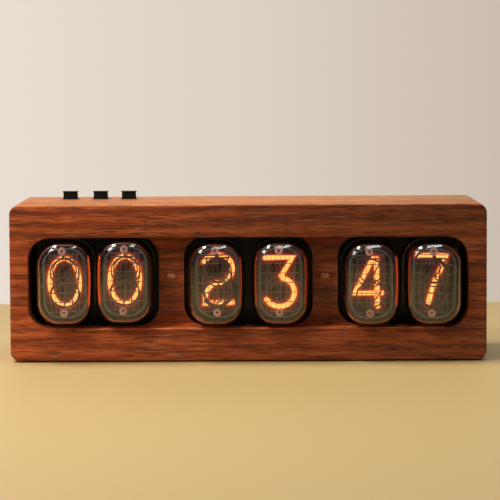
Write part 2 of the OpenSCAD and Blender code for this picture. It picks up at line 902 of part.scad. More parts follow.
module front_standoffs() {
    color("silver")
    for (p = standoff_places)
        standoff(p, front_wall, tube_board_d, wall_stud_len);
}

module middle_standoffs() {
    color("silver")
    for (p = standoff_places)
        standoff(p, tube_board_d + board_t, main_board_d, board_t + thread_len);
}

module rear_standoffs() {
    color("silver")
    for (p = corner_places)
        standoff(p, main_rear_d, panel_d, board_t + thread_len);
}

module main_board_screws() {
    color("silver")
    for (p = middle_places)
        difference() {
            union() {
                bar(p, main_rear_d, screw_head_t, screw_head_r);
                bar(p, main_board_d - thread_len, thread_len + board_t + screw_head_t / 4, thread_r);
            }
            hex_recess(p, main_rear_d + screw_head_t);
        }
}

// Main board and what is on it

module main_board() {
    color("seagreen")
    board_plate(main_board_d);
}

module board_headers() {
    color("dimgray")
    for (s = [-1, 1])
        translate([s * window_pitch / 2, 0, 0])
            slab(tube_board_d + board_t, board_space)
                square([header_w, header_h], center = true);
}

// Chip lying along x, its legs standing on z = 0
module chip(len, w, legs) {
    translate([-len / 2, -w / 2, chip_lift])
        cube([len, w, chip_h - chip_lift]);
    for (i = [0:legs - 1], s = [-1, 1])
        translate([(i - (legs - 1) / 2) * chip_leg_pitch - leg_w / 2, s * (w / 2) - leg_t, 0])
            cube([leg_w, 2 * leg_t, chip_h / 2]);
}

module driver_chips() {
    color("dimgray")
    for (n = TUBES)
        translate([tube_at(n)[0], front_y + main_board_d, mid_z])
            rotate([90, 90, 0])
                chip(chip_len, chip_w, 8);
}

module microcontroller() {
    color("dimgray")
    translate([0, front_y + main_rear_d, mid_z])
        rotate([-90, 0, 0])
            chip(controller_len, chip_w, controller_legs);
}

module coin_cell_holder() {
    color("black")
    difference() {
        bar(cell_at, main_rear_d, holder_floor + cell_t, cell_r + holder_wall);
        bar(cell_at, main_rear_d + holder_floor, cell_t + overcut, cell_r + hole_gap);
    }
}

module coin_cell() {
    color("silver")
    bar(cell_at, main_rear_d + holder_floor, cell_t, cell_r);
}

module buzzer() {
    color("black")
    difference() {
        bar(buzzer_at, main_rear_d, buzzer_h, buzzer_r);
        bar(buzzer_at, main_rear_d + buzzer_h - overcut, 2 * overcut, buzzer_r / 5);
    }
}

module hv_inductor() {
    color("dimgray")
    translate([coil_at[0], front_y + main_rear_d, mid_z + coil_at[1]])
        rotate([-90, 0, 0])
            rotate_extrude()
                polygon([
                    [0, 0], [coil_r, 0], [coil_r, coil_h / 6], [coil_r * 0.85, coil_h / 6],
                    [coil_r * 0.85, coil_h * 5 / 6], [coil_r, coil_h * 5 / 6], [coil_r, coil_h], [0, coil_h]
                ]);
}

module hv_capacitor() {
    color("navy")
    difference() {
        bar(capacitor_at, main_rear_d, capacitor_h, capacitor_r);
        bar(capacitor_at, main_rear_d + capacitor_h - 0.3, overcut, capacitor_r * 0.8);
    }
}

module hv_transistor() {
    color("dimgray")
    translate([transistor_at[0], front_y + main_rear_d, mid_z + transistor_at[1]])
        rotate([-90, 0, 0]) {
            translate([-transistor_w / 2, 0, transistor_h / 4])
                cube([transistor_w, tab_t, transistor_h * 3 / 4]);
            translate([-transistor_w / 2, -3 * leg_w, transistor_h / 4])
                cube([transistor_w, 4 * leg_w, transistor_h / 2]);
            for (i = [-1:1])
                translate([i * transistor_w / 4 - leg_w, -leg_w, 0])
                    cube([2 * leg_w, 2 * leg_w, transistor_h / 2]);
        }
}

// Power inlet

module dc_jack_housing() {
    at = [jack_x, jack_z];
    body_end_d = panel_d - fit_gap;
    color("black")
    difference() {
        union() {
            translate([jack_x, 0, jack_z])
                slab(main_rear_d, body_end_d - main_rear_d)
                    square([jack_body_w, jack_body_w], center = true);
            bar(at, body_end_d - overcut, jack_mouth_d - body_end_d + overcut, jack_mouth_r);
        }
        bar(at, jack_bore_d, jack_bore_len + overcut, jack_bore_r);
        bar(at, jack_bore_d - jack_root_len, jack_root_len + overcut, jack_root_r + fit_gap);
    }
}

module dc_jack_pin() {
    at = [jack_x, jack_z];
    color("gold")
    union() {
        bar(at, jack_bore_d - jack_root_len, jack_root_len, jack_root_r);
        bar(at, jack_bore_d - jack_pin_r, jack_pin_end_d - jack_bore_d + jack_pin_r, jack_pin_r);
    }
}

// Buttons

module button_cap(i) {
    x = button_x[i - 1];
    color("black")
    difference() {
        union() {
            button_block(x, cap_w, cap_w, flange_top_z, cap_top_z);
            button_block(x, cap_w + 2 * cap_flange, cap_w - 2 * move_gap, flange_z, flange_top_z);
        }
        translate([x, front_y + button_d, flange_z - overcut])
            cylinder(h = cap_socket_z - flange_z + overcut, r = plunger_r + fit_gap);
        translate([x, front_y + button_d, cap_top_z - cap_dish + dish_r])
            sphere(dish_r);
    }
}

module switch_plunger(i) {
    color("white")
    translate([button_x[i - 1], front_y + button_d, plunger_z])
        cylinder(h = cap_socket_z - fit_gap - plunger_z, r = plunger_r);
}

module switch_bodies() {
    color("dimgray")
    for (x = button_x)
        difference() {
            translate([x - cap_w / 2, front_y + main_rear_d, switch_z])
                cube([cap_w, switch_d, switch_h]);
            translate([x, front_y + button_d, switch_z + switch_floor])
                cylinder(h = switch_h, r = plunger_r + move_gap);
        }
}

case();
back_panel();
back_panel_screws();
foot_pads();
light_pipes();
envelope(1);  // tube_1_envelope
envelope(2);  // tube_2_envelope
envelope(3);  // tube_3_envelope
envelope(4);  // tube_4_envelope
envelope(5);  // tube_5_envelope
envelope(6);  // tube_6_envelope
anode(1);  // tube_1_anode
anode(2);  // tube_2_anode
anode(3);  // tube_3_anode
anode(4);  // tube_4_anode
anode(5);  // tube_5_anode
anode(6);  // tube_6_anode
cathodes(1);  // tube_1_cathodes
cathodes(2);  // tube_2_cathodes
cathodes(3);  // tube_3_cathodes
cathodes(4);  // tube_4_cathodes
cathodes(5);  // tube_5_cathodes
cathodes(6);  // tube_6_cathodes
lit_digit_sheet(1);  // tube_1_lit_digit
lit_digit_sheet(2);  // tube_2_lit_digit
lit_digit_sheet(3);  // tube_3_lit_digit
lit_digit_sheet(4);  // tube_4_lit_digit
lit_digit_sheet(5);  // tube_5_lit_digit
lit_digit_sheet(6);  // tube_6_lit_digit
tube_stems();
tube_posts();
tube_pins();
tube_sockets();
socket_contacts();
tube_board();
separator_leds();
front_standoffs();
middle_standoffs();
rear_standoffs();
main_board_screws();
main_board();
board_headers();
driver_chips();
microcontroller();
coin_cell_holder();
coin_cell();
buzzer();
hv_inductor();
hv_capacitor();
hv_transistor();
dc_jack_housing();
dc_jack_pin();
switch_bodies();
button_cap(1);  // button_1_cap
button_cap(2);  // button_2_cap
button_cap(3);  // button_3_cap
switch_plunger(1);  // switch_1_plunger
switch_plunger(2);  // switch_2_plunger
switch_plunger(3);  // switch_3_plunger
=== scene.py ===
import json
import math
import bmesh
import bpy
from mathutils import Matrix, Vector
from mathutils.geometry import tessellate_polygon


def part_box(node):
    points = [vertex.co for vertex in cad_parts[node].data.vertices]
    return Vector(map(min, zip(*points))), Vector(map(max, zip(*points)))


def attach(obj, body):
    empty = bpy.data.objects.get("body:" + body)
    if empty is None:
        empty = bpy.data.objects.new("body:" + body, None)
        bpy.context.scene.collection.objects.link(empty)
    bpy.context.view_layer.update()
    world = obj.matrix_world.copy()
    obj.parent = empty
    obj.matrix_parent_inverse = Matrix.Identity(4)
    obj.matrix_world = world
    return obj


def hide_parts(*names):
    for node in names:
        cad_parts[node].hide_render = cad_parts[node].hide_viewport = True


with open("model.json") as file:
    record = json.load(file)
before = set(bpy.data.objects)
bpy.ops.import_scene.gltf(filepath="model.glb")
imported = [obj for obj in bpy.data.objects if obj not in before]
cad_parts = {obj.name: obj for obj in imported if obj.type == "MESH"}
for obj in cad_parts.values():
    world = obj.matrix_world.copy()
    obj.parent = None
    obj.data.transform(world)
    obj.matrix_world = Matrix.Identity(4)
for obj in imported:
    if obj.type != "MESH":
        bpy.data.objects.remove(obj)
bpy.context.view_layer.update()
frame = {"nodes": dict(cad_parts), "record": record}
nodes = frame["nodes"]
print("frame loaded:", len(nodes), "solids")

mm = 0.001
frontY = -26.75  # the wood's front face
midZ = 30.0      # height of the tubes' axes
tubeTurns = (-1.6, 1.2, -1.8, -0.5, -0.6, 1.7)  # degrees, from the left tube to the right
tubeNumbers = range(1, len(tubeTurns) + 1)


def place(x, depth, z):
    # depth is measured backwards from the wood's front face
    return Vector((x, frontY + depth, midZ + z)) * mm


def roundedLoop(width, height, radius, steps=8, centre=(0.0, 0.0)):
    points = []
    for sx, sz, start in ((1, 1, 0), (-1, 1, 90), (-1, -1, 180), (1, -1, 270)):
        cx = centre[0] + sx * (width / 2 - radius)
        cz = centre[1] + sz * (height / 2 - radius)
        for k in range(steps + 1):
            a = math.radians(start + 90 * k / steps)
            points.append((cx + radius * math.cos(a), cz + radius * math.sin(a)))
    return points


def addRing(bm, points, depth):
    return [bm.verts.new(place(x, depth, z)) for x, z in points]


def bridgeRings(bm, rings):
    for first, second in zip(rings, rings[1:]):
        count = len(first)
        for k in range(count):
            bm.faces.new((first[k], first[(k + 1) % count], second[(k + 1) % count], second[k]))


def fillFace(bm, rings):
    flat = [v for ring in rings for v in ring]
    outlines = [[Vector((v.co.x, v.co.z, 0)) for v in ring] for ring in rings]
    for tri in tessellate_polygon(outlines):
        bm.faces.new([flat[i] for i in tri])


def fillFan(bm, ring, centre):
    hub = bm.verts.new(centre)
    for k in range(len(ring)):
        bm.faces.new((ring[k], ring[(k + 1) % len(ring)], hub))


def roundOver(size, steps=3):
    # pairs of (drawn in, along) for a quarter round
    pairs = []
    for k in range(steps + 1):
        a = math.radians(90 * k / steps)
        pairs.append((size * (1 - math.sin(a)), size * (1 - math.cos(a))))
    return pairs


def meshPiece(name, bm, material, body, smooth=True, flatAbove=40):
    bmesh.ops.recalc_face_normals(bm, faces=bm.faces)
    mesh = bpy.data.meshes.new(name)
    bm.to_mesh(mesh)
    bm.free()
    return finishPiece(name, mesh, material, body, smooth, flatAbove)


def finishPiece(name, mesh, material, body, smooth=True, flatAbove=40):
    piece = bpy.data.objects.new(name, mesh)
    bpy.context.scene.collection.objects.link(piece)
    if material is not None:
        mesh.materials.clear()
        mesh.materials.append(material)
    if smooth:
        mesh.shade_smooth()
        mesh.set_sharp_from_angle(angle=math.radians(flatAbove))
    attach(piece, body)
    return piece


def blankMaterial(name):
    material = bpy.data.materials.new(name)
    material.use_nodes = True
    tree = material.node_tree
    return material, tree, tree.nodes["Principled BSDF"]


def addNode(tree, kind, **values):
    node = tree.nodes.new(kind)
    for key, value in values.items():
        if key in node.bl_rna.properties:
            setattr(node, key, value)
        else:
            node.inputs[key.replace("_", " ")].default_value = value
    return node


def objectPattern(tree, scale, turn=(0, 0, 0), shift=(0, 0, 0)):
    coords = addNode(tree, "ShaderNodeTexCoord")
    mapping = addNode(tree, "ShaderNodeMapping", Location=shift, Rotation=turn, Scale=scale)
    tree.links.new(coords.outputs["Object"], mapping.inputs["Vector"])
    return mapping.outputs["Vector"]


def noiseOf(tree, vector, scale, detail=3.0, rough=0.55, distort=0.0):
    noise = addNode(tree, "ShaderNodeTexNoise", Scale=scale, Detail=detail, Roughness=rough,
                    Distortion=distort)
    tree.links.new(vector, noise.inputs["Vector"])
    return noise.outputs["Fac"]


def rampOf(tree, value, stops):
    ramp = addNode(tree, "ShaderNodeValToRGB")
    elements = ramp.color_ramp.elements
    while len(elements) < len(stops):
        elements.new(0.5)
    for element, (position, colour) in zip(elements, stops):
        element.position = position
        element.color = (*colour, 1)
    tree.links.new(value, ramp.inputs["Fac"])
    return ramp.outputs["Color"]


def greyRamp(tree, value, stops):
    return rampOf(tree, value, [(p, (g, g, g)) for p, g in stops])


def mixColours(tree, factor, first, second, blend="MIX"):
    mix = tree.nodes.new("ShaderNodeMix")
    mix.data_type = "RGBA"
    mix.blend_type = blend
    for socket, value in ((mix.inputs[0], factor), (mix.inputs[6], first), (mix.inputs[7], second)):
        if isinstance(value, bpy.types.NodeSocket):
            tree.links.new(value, socket)
        elif isinstance(value, (int, float)):
            socket.default_value = value
        else:
            socket.default_value = (*value, 1)
    return mix.outputs[2]


def bumpFrom(tree, shader, height, distance, strength=0.5):
    bump = addNode(tree, "ShaderNodeBump", Strength=strength, Distance=distance)
    tree.links.new(height, bump.inputs["Height"])
    tree.links.new(bump.outputs["Normal"], shader.inputs["Normal"])


def arithmetic(tree, operation, first, second):
    node = addNode(tree, "ShaderNodeMath", operation=operation)
    for socket, value in zip(node.inputs, (first, second)):
        if isinstance(value, bpy.types.NodeSocket):
            tree.links.new(value, socket)
        else:
            socket.default_value = value
    return node.outputs[0]


def splitCoords(tree):
    split = addNode(tree, "ShaderNodeSeparateXYZ")
    tree.links.new(addNode(tree, "ShaderNodeTexCoord").outputs["Object"], split.inputs["Vector"])
    return split.outputs


def fadeOf(tree, value, start, end):
    # 0 at the start of the range and 1 at its end
    fade = addNode(tree, "ShaderNodeMapRange", From_Min=start, From_Max=end, To_Min=0.0, To_Max=1.0)
    tree.links.new(value, fade.inputs["Value"])
    return fade.outputs["Result"]


woodLook = {
    "dark": (0.120, 0.0180, 0.0045),
    "middle": (0.345, 0.056, 0.0115),
    "light": (0.560, 0.118, 0.0270),
    "poreColour": (0.040, 0.011, 0.005),
    "fleckColour": (0.62, 0.215, 0.085),
    "ringPeriod": 3.4,      # mm between growth rings
    "streakLength": 80.0,   # mm
    # painted shade towards the right end, for the light's falloff from the left
    "paintedShadeAtRightEnd": 0.60,      # how far the tone drops towards the right end
    "shine": 0.40,
    # patches of painted light and shade: a tint, and the ranges (m) over which it comes in
    "patches": {
        # painted light and sheen: the top face lighter and yellower, as under the overhead lamp
        "paintedTopLight": ((1.40, 2.05, 1.18), (("Z", 0.0588, 0.0595),)),
        # painted light: the top face lighter again towards its right end
        "paintedTopRightLight": ((1.30, 1.26, 1.20), (("Z", 0.0588, 0.0595), ("X", -0.06, 0.01))),
        # painted shade: the front's upper strip, above the windows, darker towards the right
        "paintedShadeHeadRail": ((0.72, 0.80, 0.98), (("Z", 0.0470, 0.0520), ("Z", 0.0592, 0.0586),
                                                ("X", -0.05, 0.0), ("Y", -0.0170, -0.0190))),
        # painted light: the channel's bottom ledge lit bright, as by the lamp above
        "paintedLitLedge": ((2.3, 2.5, 2.6), (("Z", 0.0122, 0.0126), ("Z", 0.0140, 0.0136),
                                          ("Y", -0.0170, -0.0175), ("X", -0.0755, -0.0735),
                                          ("X", 0.0755, 0.0735))),
        # painted shade: the window walls darkened inside the case
        "paintedShadeInside": ((0.16, 0.14, 0.14), (("Y", -0.0172, -0.0160), ("Z", 0.0060, 0.0064),
                                            ("Z", 0.0545, 0.0541), ("X", -0.0865, -0.086),
                                            ("X", 0.0865, 0.086))),
    },
    "roughness": (0.36, 0.52),
}


def hardwood(name, look):
    material, tree, shader = blankMaterial(name)
    # the rings run round a line along X, below and behind the block
    pith = objectPattern(tree, (0.22, 1, 1), shift=(0, -0.105, 0.085))
    rings =addNode(tree, "ShaderNodeTexWave", wave_type="RINGS", rings_direction="X",
                    Scale=0.314 / (look["ringPeriod"] * mm), Distortion=9.0, Detail=4.0,
                    Detail_Scale=0.3, Detail_Roughness=0.66)
    tree.links.new(pith, rings.inputs["Vector"])
    along = 1000 / look["streakLength"]
    broad = noiseOf(tree, objectPattern(tree, (3.0, 40, 52), shift=(0.3, 0, 0)), 1.0, 3.0, 0.6, 0.5)
    streaks = noiseOf(tree, objectPattern(tree, (along, 560, 600)), 1.0, 7.0, 0.78, 0.25)
    fine = noiseOf(tree, objectPattern(tree, (along * 5, 2200, 2400)), 1.0, 4.0, 0.7)
    pores = noiseOf(tree, objectPattern(tree, (150, 1700, 2700)), 1.0, 2.0, 0.5)
    flecks = noiseOf(tree, objectPattern(tree, (110, 1500, 2500), shift=(0.7, 0.4, 0.1)), 1.0, 2.0, 0.5)
    tone = mixColours(tree, 0.26, streaks, rings.outputs["Fac"])
    tone = mixColours(tree, 0.42, tone, broad)
    colour = rampOf(tree, tone, [(0.34, look["dark"]), (0.49, look["middle"]), (0.64, look["light"])])
    grey = greyRamp(tree, fine, [(0.30, 0.50), (0.70, 1.50)])
    colour = mixColours(tree, 1.0, colour, grey, "MULTIPLY")
    fleckMask = greyRamp(tree, flecks, [(0.57, 0.0), (0.68, 0.65)])
    colour = mixColours(tree, fleckMask, colour, look["fleckColour"])
    poreMask = greyRamp(tree, pores, [(0.54, 0.0), (0.66, 0.80)])
    colour = mixColours(tree, poreMask, colour, look["poreColour"])
    # painted shade: the plank darkens and browns towards its right end, for the light falling off from the left
    axes = splitCoords(tree)
    d = look["paintedShadeAtRightEnd"]
    shade = rampOf(tree, fadeOf(tree, axes["X"], -0.09, 0.09),
                   [(0.0, (1.0, 1.0, 1.0)), (0.5, (0.80, 0.84, 0.86)), (1.0, (d, d * 1.15, d * 1.25))])
    colour = mixColours(tree, 1.0, colour, shade, "MULTIPLY")
    # each patch tints the wood with its painted light and shade inside its ranges
    for tint, ranges in look["patches"].values():
        mask = None
        for axis, start, end in ranges:
            step = fadeOf(tree, axes[axis], start, end)
            mask = step if mask is None else arithmetic(tree, "MULTIPLY", mask, step)
        colour = mixColours(tree, mask, colour, mixColours(tree, 1.0, colour, tint, "MULTIPLY"))
    tree.links.new(colour, shader.inputs["Base Color"])
    shader.inputs["Specular IOR Level"].default_value = look["shine"]
    low, high = look["roughness"]
    tree.links.new(greyRamp(tree, streaks, [(0.3, high), (0.7, low)]), shader.inputs["Roughness"])
    height = mixColours(tree, poreMask, streaks, (0.0, 0.0, 0.0))
    bumpFrom(tree, shader, height, 0.0001, 0.35)
    return material


def plasticFinish(name, colour, rough, grain=2600.0, depth=0.00004, spread=0.12, shine=0.5):
    # moulded plastic: a fine spark-eroded grain and slightly uneven shine
    material, tree, shader = blankMaterial(name)
    shader.inputs["Specular IOR Level"].default_value = shine
    vector = objectPattern(tree, (1, 1, 1))
    fine = noiseOf(tree, vector, grain, 2.0)
    cloudy = noiseOf(tree, vector, 90.0, 3.0)
    darker = tuple(c * (1 - spread) for c in colour)
    lighter = tuple(min(1.0, c * (1 + spread)) for c in colour)
    tree.links.new(rampOf(tree, cloudy, [(0.3, darker), (0.7, lighter)]), shader.inputs["Base Color"])
    tree.links.new(greyRamp(tree, fine, [(0.3, rough + 0.06), (0.7, max(0.05, rough - 0.06))]),
                   shader.inputs["Roughness"])
    bumpFrom(tree, shader, fine, depth, 0.5)
    return material


def metalFinish(name, colour, rough, brush=(1, 1, 1), grain=1800.0, tarnish=0.2):
    # drawn or rolled metal: fine lines along the direction in which brush is small
    material, tree, shader = blankMaterial(name)
    lines = noiseOf(tree, objectPattern(tree, brush), grain, 3.0, 0.6)
    cloudy = noiseOf(tree, objectPattern(tree, (1, 1, 1)), 260.0, 3.0, 0.6)
    darker = tuple(c * (1 - tarnish) for c in colour)
    tree.links.new(rampOf(tree, cloudy, [(0.35, darker), (0.65, colour)]), shader.inputs["Base Color"])
    shader.inputs["Metallic"].default_value = 1.0
    tree.links.new(greyRamp(tree, lines, [(0.3, rough + 0.10), (0.7, max(0.05, rough - 0.08))]),
                   shader.inputs["Roughness"])
    bumpFrom(tree, shader, lines, 0.00002, 0.35)
    return material


def shadedInsideCan(name, bright, dark):
    # rolled metal, bright on the face that is looked at and painted dark inside as shade
    material, tree, shader = blankMaterial(name)
    inward = fadeOf(tree, splitCoords(tree)["Y"], -0.0302, -0.0288)
    cloudy = noiseOf(tree, objectPattern(tree, (1, 1, 1)), 420.0, 3.0, 0.6)
    face = rampOf(tree, cloudy, [(0.35, tuple(c * 0.7 for c in bright)), (0.65, bright)])
    # painted shade: the can goes dark behind its front face
    tree.links.new(mixColours(tree, inward, face, dark), shader.inputs["Base Color"])
    shader.inputs["Metallic"].default_value = 0.55
    tree.links.new(greyRamp(tree, cloudy, [(0.3, 0.5), (0.7, 0.42)]), shader.inputs["Roughness"])
    bumpFrom(tree, shader, cloudy, 0.00002, 0.35)
    return material


def boardFinish(name, mask, copper):
    # solder mask over tracks: straight runs a little lighter than the ground
    material, tree, shader = blankMaterial(name)
    bricks = addNode(tree, "ShaderNodeTexBrick", Scale=1.0, Mortar_Size=0.06, Brick_Width=3.1,
                     Row_Height=0.9)
    upright = objectPattern(tree, (900, 900, 900), turn=(math.radians(90), 0, 0))
    tree.links.new(upright, bricks.inputs["Vector"])
    cloudy = noiseOf(tree, objectPattern(tree, (1, 1, 1)), 140.0, 2.0)
    tracks = greyRamp(tree, bricks.outputs["Fac"], [(0.4, 0.0), (0.6, 0.7)])
    ground = rampOf(tree, cloudy, [(0.3, tuple(c * 0.85 for c in mask)), (0.7, mask)])
    tree.links.new(mixColours(tree, tracks, ground, copper), shader.inputs["Base Color"])
    tree.links.new(greyRamp(tree, cloudy, [(0.3, 0.35), (0.7, 0.45)]), shader.inputs["Roughness"])
    bumpFrom(tree, shader, tracks, 0.00003, 0.5)
    return material


def glowFinish(name, colour, strength, alpha=1.0):
    material, tree, shader = blankMaterial(name)
    shader.inputs["Base Color"].default_value = (0.02, 0.008, 0.004, 1)
    shader.inputs["Specular IOR Level"].default_value = 0.0
    shader.inputs["Emission Color"].default_value = (*colour, 1)
    shader.inputs["Emission Strength"].default_value = strength
    shader.inputs["Alpha"].default_value = alpha
    # the surface under the glow is a touch uneven
    uneven = noiseOf(tree, objectPattern(tree, (1, 1, 1)), 700.0, 2.0)
    tree.links.new(greyRamp(tree, uneven, [(0.3, 0.55), (0.7, 0.7)]), shader.inputs["Roughness"])
    return material


def glassFinish(name, tint, rough):
    material, tree, shader = blankMaterial(name)
    shader.inputs["Base Color"].default_value = (*tint, 1)
    shader.inputs["Roughness"].default_value = rough
    shader.inputs["IOR"].default_value = 1.5
    shader.inputs["Transmission Weight"].default_value = 1.0
    shader.inputs["Specular IOR Level"].default_value = 0.28
    # blown glass: very slow waves in the surface
    bumpFrom(tree, shader, noiseOf(tree, objectPattern(tree, (1, 1, 1)), 45.0, 1.0), 0.0001, 0.08)
    return material


wood = hardwood("oiledHardwood", woodLook)
blackPlastic = plasticFinish("blackButtonPlastic", (0.004, 0.007, 0.006), 0.6, shine=0.2)
sheetPlastic = plasticFinish("mattBlackSheet", (0.022, 0.022, 0.023), 0.58, 1700.0, 0.00005)
partPlastic = plasticFinish("mouldedBlackParts", (0.03, 0.03, 0.031), 0.5)
whitePlastic = plasticFinish("plungerPlastic", (0.62, 0.61, 0.57), 0.45)
padRubber = plasticFinish("padRubber", (0.035, 0.034, 0.033), 0.82, 1500.0, 0.00009)
pipePlastic = plasticFinish("frostedLightPipe", (0.50, 0.19, 0.095), 0.5, 2400.0, 0.00003)
lensPlastic = plasticFinish("diffusedLens", (0.78, 0.75, 0.66), 0.35)
sleevePlastic = plasticFinish("capacitorSleeve", (0.02, 0.03, 0.12), 0.28, 1300.0)
ceramicPink = plasticFinish("pinkCeramic", (0.82, 0.40, 0.38), 0.62, 3200.0, 0.00005, 0.2)
ferriteDark = plasticFinish("ferriteDark", (0.06, 0.06, 0.062), 0.7, 1500.0, 0.00008)
blackSteel = metalFinish("blackenedSteel", (0.10, 0.10, 0.105), 0.42)
brightSteel = metalFinish("brightSteel", (0.62, 0.61, 0.59), 0.28)
nickelPlate = metalFinish("nickelPlate", (0.60, 0.56, 0.48), 0.3, (1, 0.1, 1))
goldPlate = metalFinish("goldPlate", (0.78, 0.56, 0.22), 0.3)
anodeMetal = shadedInsideCan("anodeMetalShadedInside", (0.19, 0.19, 0.205), (0.012, 0.006, 0.011))
wireMetal = metalFinish("gridWireMetal", (0.32, 0.33, 0.33), 0.5, (1, 1, 1), 2600.0, 0.35)
rivetMetal = plasticFinish("rivetPink", (0.95, 0.50, 0.48), 0.4, 3000.0, 0.00004, 0.25)
rivetDark = plasticFinish("rivetEyeDark", (0.05, 0.022, 0.02), 0.5, 3000.0, 0.00004, 0.25)
cathodeMetal = metalFinish("greyCathodeWire", (0.25, 0.165, 0.19), 0.5, (1, 1, 1), 2600.0, 0.45)
boardBlack = boardFinish("blackSolderMask", (0.012, 0.016, 0.014), (0.03, 0.034, 0.028))
boardGreen = boardFinish("greenSolderMask", (0.012, 0.10, 0.045), (0.03, 0.19, 0.075))
envelopeGlass = glassFinish("clearEnvelopeGlass", (0.985, 0.99, 0.985), 0.015)
stemGlass = glassFinish("pressedStemGlass", (0.80, 0.83, 0.80), 0.12)
print("materials made:", len(bpy.data.materials))

bySlot = {
    "wood": wood, "rear_panel": sheetPlastic, "screw_steel": blackSteel, "pad_rubber": padRubber,
    "light_pipe": pipePlastic, "glass": stemGlass, "post_ceramic": ceramicPink,
    "pin_metal": brightSteel, "socket_plastic": partPlastic, "contact_metal": goldPlate,
    "board_black": boardBlack, "led_lens": lensPlastic, "standoff_metal": nickelPlate,
    "board_green": boardGreen, "header_plastic": partPlastic, "chip_plastic": partPlastic,
    "holder_plastic": partPlastic, "cell_steel": brightSteel, "ferrite": ferriteDark,
    "capacitor_sleeve": sleevePlastic, "jack_plastic": partPlastic, "switch_plastic": partPlastic,
    "anode_metal": anodeMetal, "cathode_metal": cathodeMetal, "glow": cathodeMetal,
    "cap_plastic": blackPlastic, "plunger_plastic": whitePlastic,
}
for entry in frame["record"]["subparts"]:
    solid = nodes[entry["node"]].data
    solid.materials.clear()
    solid.materials.append(bySlot[entry["material_slot"]])
    for poly in solid.polygons:
        poly.material_index = 0

# the wooden case, in mm
caseSizes = {
    "width": 180.0, "height": 59.0, "depth": 60.0, "cornerRadius": 3.5, "edgeRound": 0.45,
    "frontWall": 12.0, "sideWall": 6.0, "flatWall": 7.0, "cavityRadius": 3.0,
    "channelDepth": 9.0, "channelRound": 0.5,
    "windowWidth": 49.0, "windowHeight": 34.0, "windowRadius": 8.0, "windowPitch": 58.5,
    "windowSteps": 14, "windowEase": 0.3,
    "panelDepth": 57.0, "panelLip": 2.0, "rebateRound": 0.3,
    "dotWidth": 3.7, "dotHeight": 2.1, "dotZ": 1.8,
    "buttonHole": 6.6, "cutterHeight": 30.0,
}
hair = 0.001  # keeps the two ends of a full round from meeting


def channelLoop(s, grow=0.0):
    # one long slot round all three windows, with a corner wherever a window's own corner begins
    radius = s["windowRadius"] + grow
    width = 2 * s["windowPitch"] + s["windowWidth"] + 2 * grow
    loop = roundedLoop(width, s["windowHeight"] + 2 * grow, radius, s["windowSteps"])
    joints = []
    for i in (-1, 0, 1):
        for side in (-1, 1):
            joints.append(i * s["windowPitch"] + side * (s["windowWidth"] / 2 - s["windowRadius"]))
    inner = sorted(joints)[1:-1]
    quarter = len(loop) // 4
    top = [(x, s["windowHeight"] / 2 + grow) for x in reversed(inner)]
    bottom = [(x, -s["windowHeight"] / 2 - grow) for x in inner]
    return loop[:quarter] + top + loop[quarter:3 * quarter] + bottom + loop[3 * quarter:]


def wallRings(bm, width, height, radius, pairs):
    return [addRing(bm, roundedLoop(width + 2 * grow, height + 2 * grow, radius + grow), depth)
            for grow, depth in pairs]


def openings(bm, s, loops):
    # each runs from the channel's floor to the inside
    made = []
    for loop in loops:
        made.append([addRing(bm, loop, depth) for depth in (s["channelDepth"], s["frontWall"])])
        bridgeRings(bm, made[-1])
    return made


